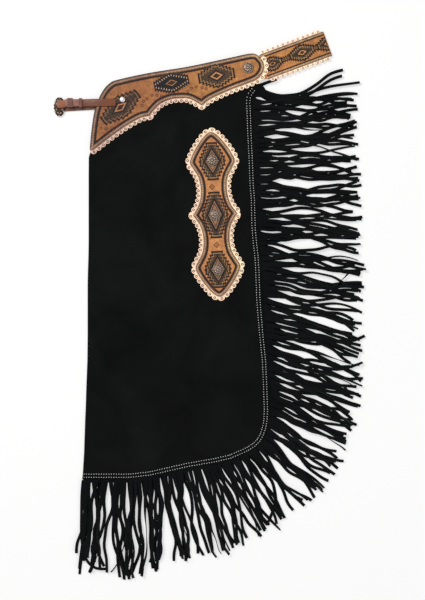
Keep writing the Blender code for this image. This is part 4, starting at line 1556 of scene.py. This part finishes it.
def make_camera():
    data = bpy.data.cameras.new("camera")
    data.lens = 85
    data.sensor_fit = "VERTICAL"
    data.sensor_height = 36
    data.clip_end = 20
    camera = bpy.data.objects.new("camera", data)
    camera.location = (0.0074, 0.0086, 2.8413)
    bpy.context.scene.collection.objects.link(camera)
    bpy.context.scene.camera = camera


def make_light(name, place, aim, size, power, colour):
    data = bpy.data.lights.new(name, "AREA")
    data.shape = "DISK"
    data.size = size
    data.energy = power
    data.color = colour
    light = bpy.data.objects.new(name, data)
    light.location = place
    light.rotation_euler = (Vector(aim) - Vector(place)).to_track_quat("-Z", "Y").to_euler()
    bpy.context.scene.collection.objects.link(light)


def make_studio():
    data = bpy.data.meshes.new("studio_floor")
    bm = bmesh.new()
    bmesh.ops.create_grid(bm, x_segments=1, y_segments=1, size=30.0)
    bmesh.ops.translate(bm, vec=(0, 0, -0.0004), verts=bm.verts)
    bm.to_mesh(data)
    bm.free()
    material, tree, shader = start_material("studio_white", Roughness=1.0, Specular_IOR_Level=0.0)
    shader.inputs["Base Color"].default_value = (0.45, 0.45, 0.45, 1)
    shader.inputs["Emission Color"].default_value = (1, 1, 1, 1)
    shader.inputs["Emission Strength"].default_value = 0.56
    data.materials.append(material)
    floor = bpy.data.objects.new("studio_floor", data)
    bpy.context.scene.collection.objects.link(floor)
    make_light("key", (-1.6, 1.5, 2.4), (0, 0, 0), 1.3, 62, (1, 0.98, 0.96))
    make_light("fill", (1.9, -1.2, 2.2), (0, 0, 0), 2.0, 18, (0.96, 0.98, 1))
    world = bpy.data.worlds.new("studio_air")
    world.use_nodes = True
    world.node_tree.nodes["Background"].inputs[0].default_value = (1, 1, 1, 1)
    world.node_tree.nodes["Background"].inputs[1].default_value = 0.45
    bpy.context.scene.world = world
    bpy.context.scene.view_settings.view_transform = "Standard"


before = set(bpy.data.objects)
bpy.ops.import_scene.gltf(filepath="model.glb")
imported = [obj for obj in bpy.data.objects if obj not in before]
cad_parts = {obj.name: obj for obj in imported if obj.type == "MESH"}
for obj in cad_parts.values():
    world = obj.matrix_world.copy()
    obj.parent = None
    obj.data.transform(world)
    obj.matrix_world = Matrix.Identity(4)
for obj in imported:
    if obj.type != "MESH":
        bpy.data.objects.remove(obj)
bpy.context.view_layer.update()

yoke_curve = curve_through(YOKE_OUTLINE, CURVE_STEPS)
overlay_placed = placed([tuple(p) for p in overlay_outline()], *OVERLAY_CENTRE, OVERLAY_TURN)
side_edge = [(s.right, s.y) for s in LEG_SECTIONS if s.y <= FRINGE_TOP_Y]
hem = LEG_SECTIONS[-1]
fringe_edge = Path(side_edge + [(hem.left, hem.y)], side=-1)

black_suede = suede_material("black_suede", (0.0054, 0.0060, 0.0060, 1), (0.0014, 0.0017, 0.0018, 1))
fringe_suede = suede_material("fringe_suede", (0.0048, 0.0054, 0.0060, 1), (0.0014, 0.0018, 0.0022, 1))
tooled_leather = leather_material("tooled_leather", 0.52, 0.45, 1.3, 0.05)
trim_leather = leather_material("trim_leather", 0.65, 0.12, 0.7, 0.0)
strap_leather = leather_material("strap_leather", 0.42, 0.45, 0.8, 0.08)
antique_silver = metal_material("antique_silver", (1.0, 0.98, 0.95, 1), (0.62, 0.58, 0.54, 1), 0.42)
bright_nickel = metal_material("bright_nickel", (1, 1, 1, 1), (0.96, 0.96, 0.96, 1), 0.38)
white_thread = thread_material("white_thread")

leg_lower, leg_upper = make_legs()
fringes = make_fringes()
make_yokes()
make_yoke_trims()
make_overlays()
belt_core = make_belt()
make_hardware()
make_buckle()
make_straps()
make_keepers()

make_camera()
make_studio()
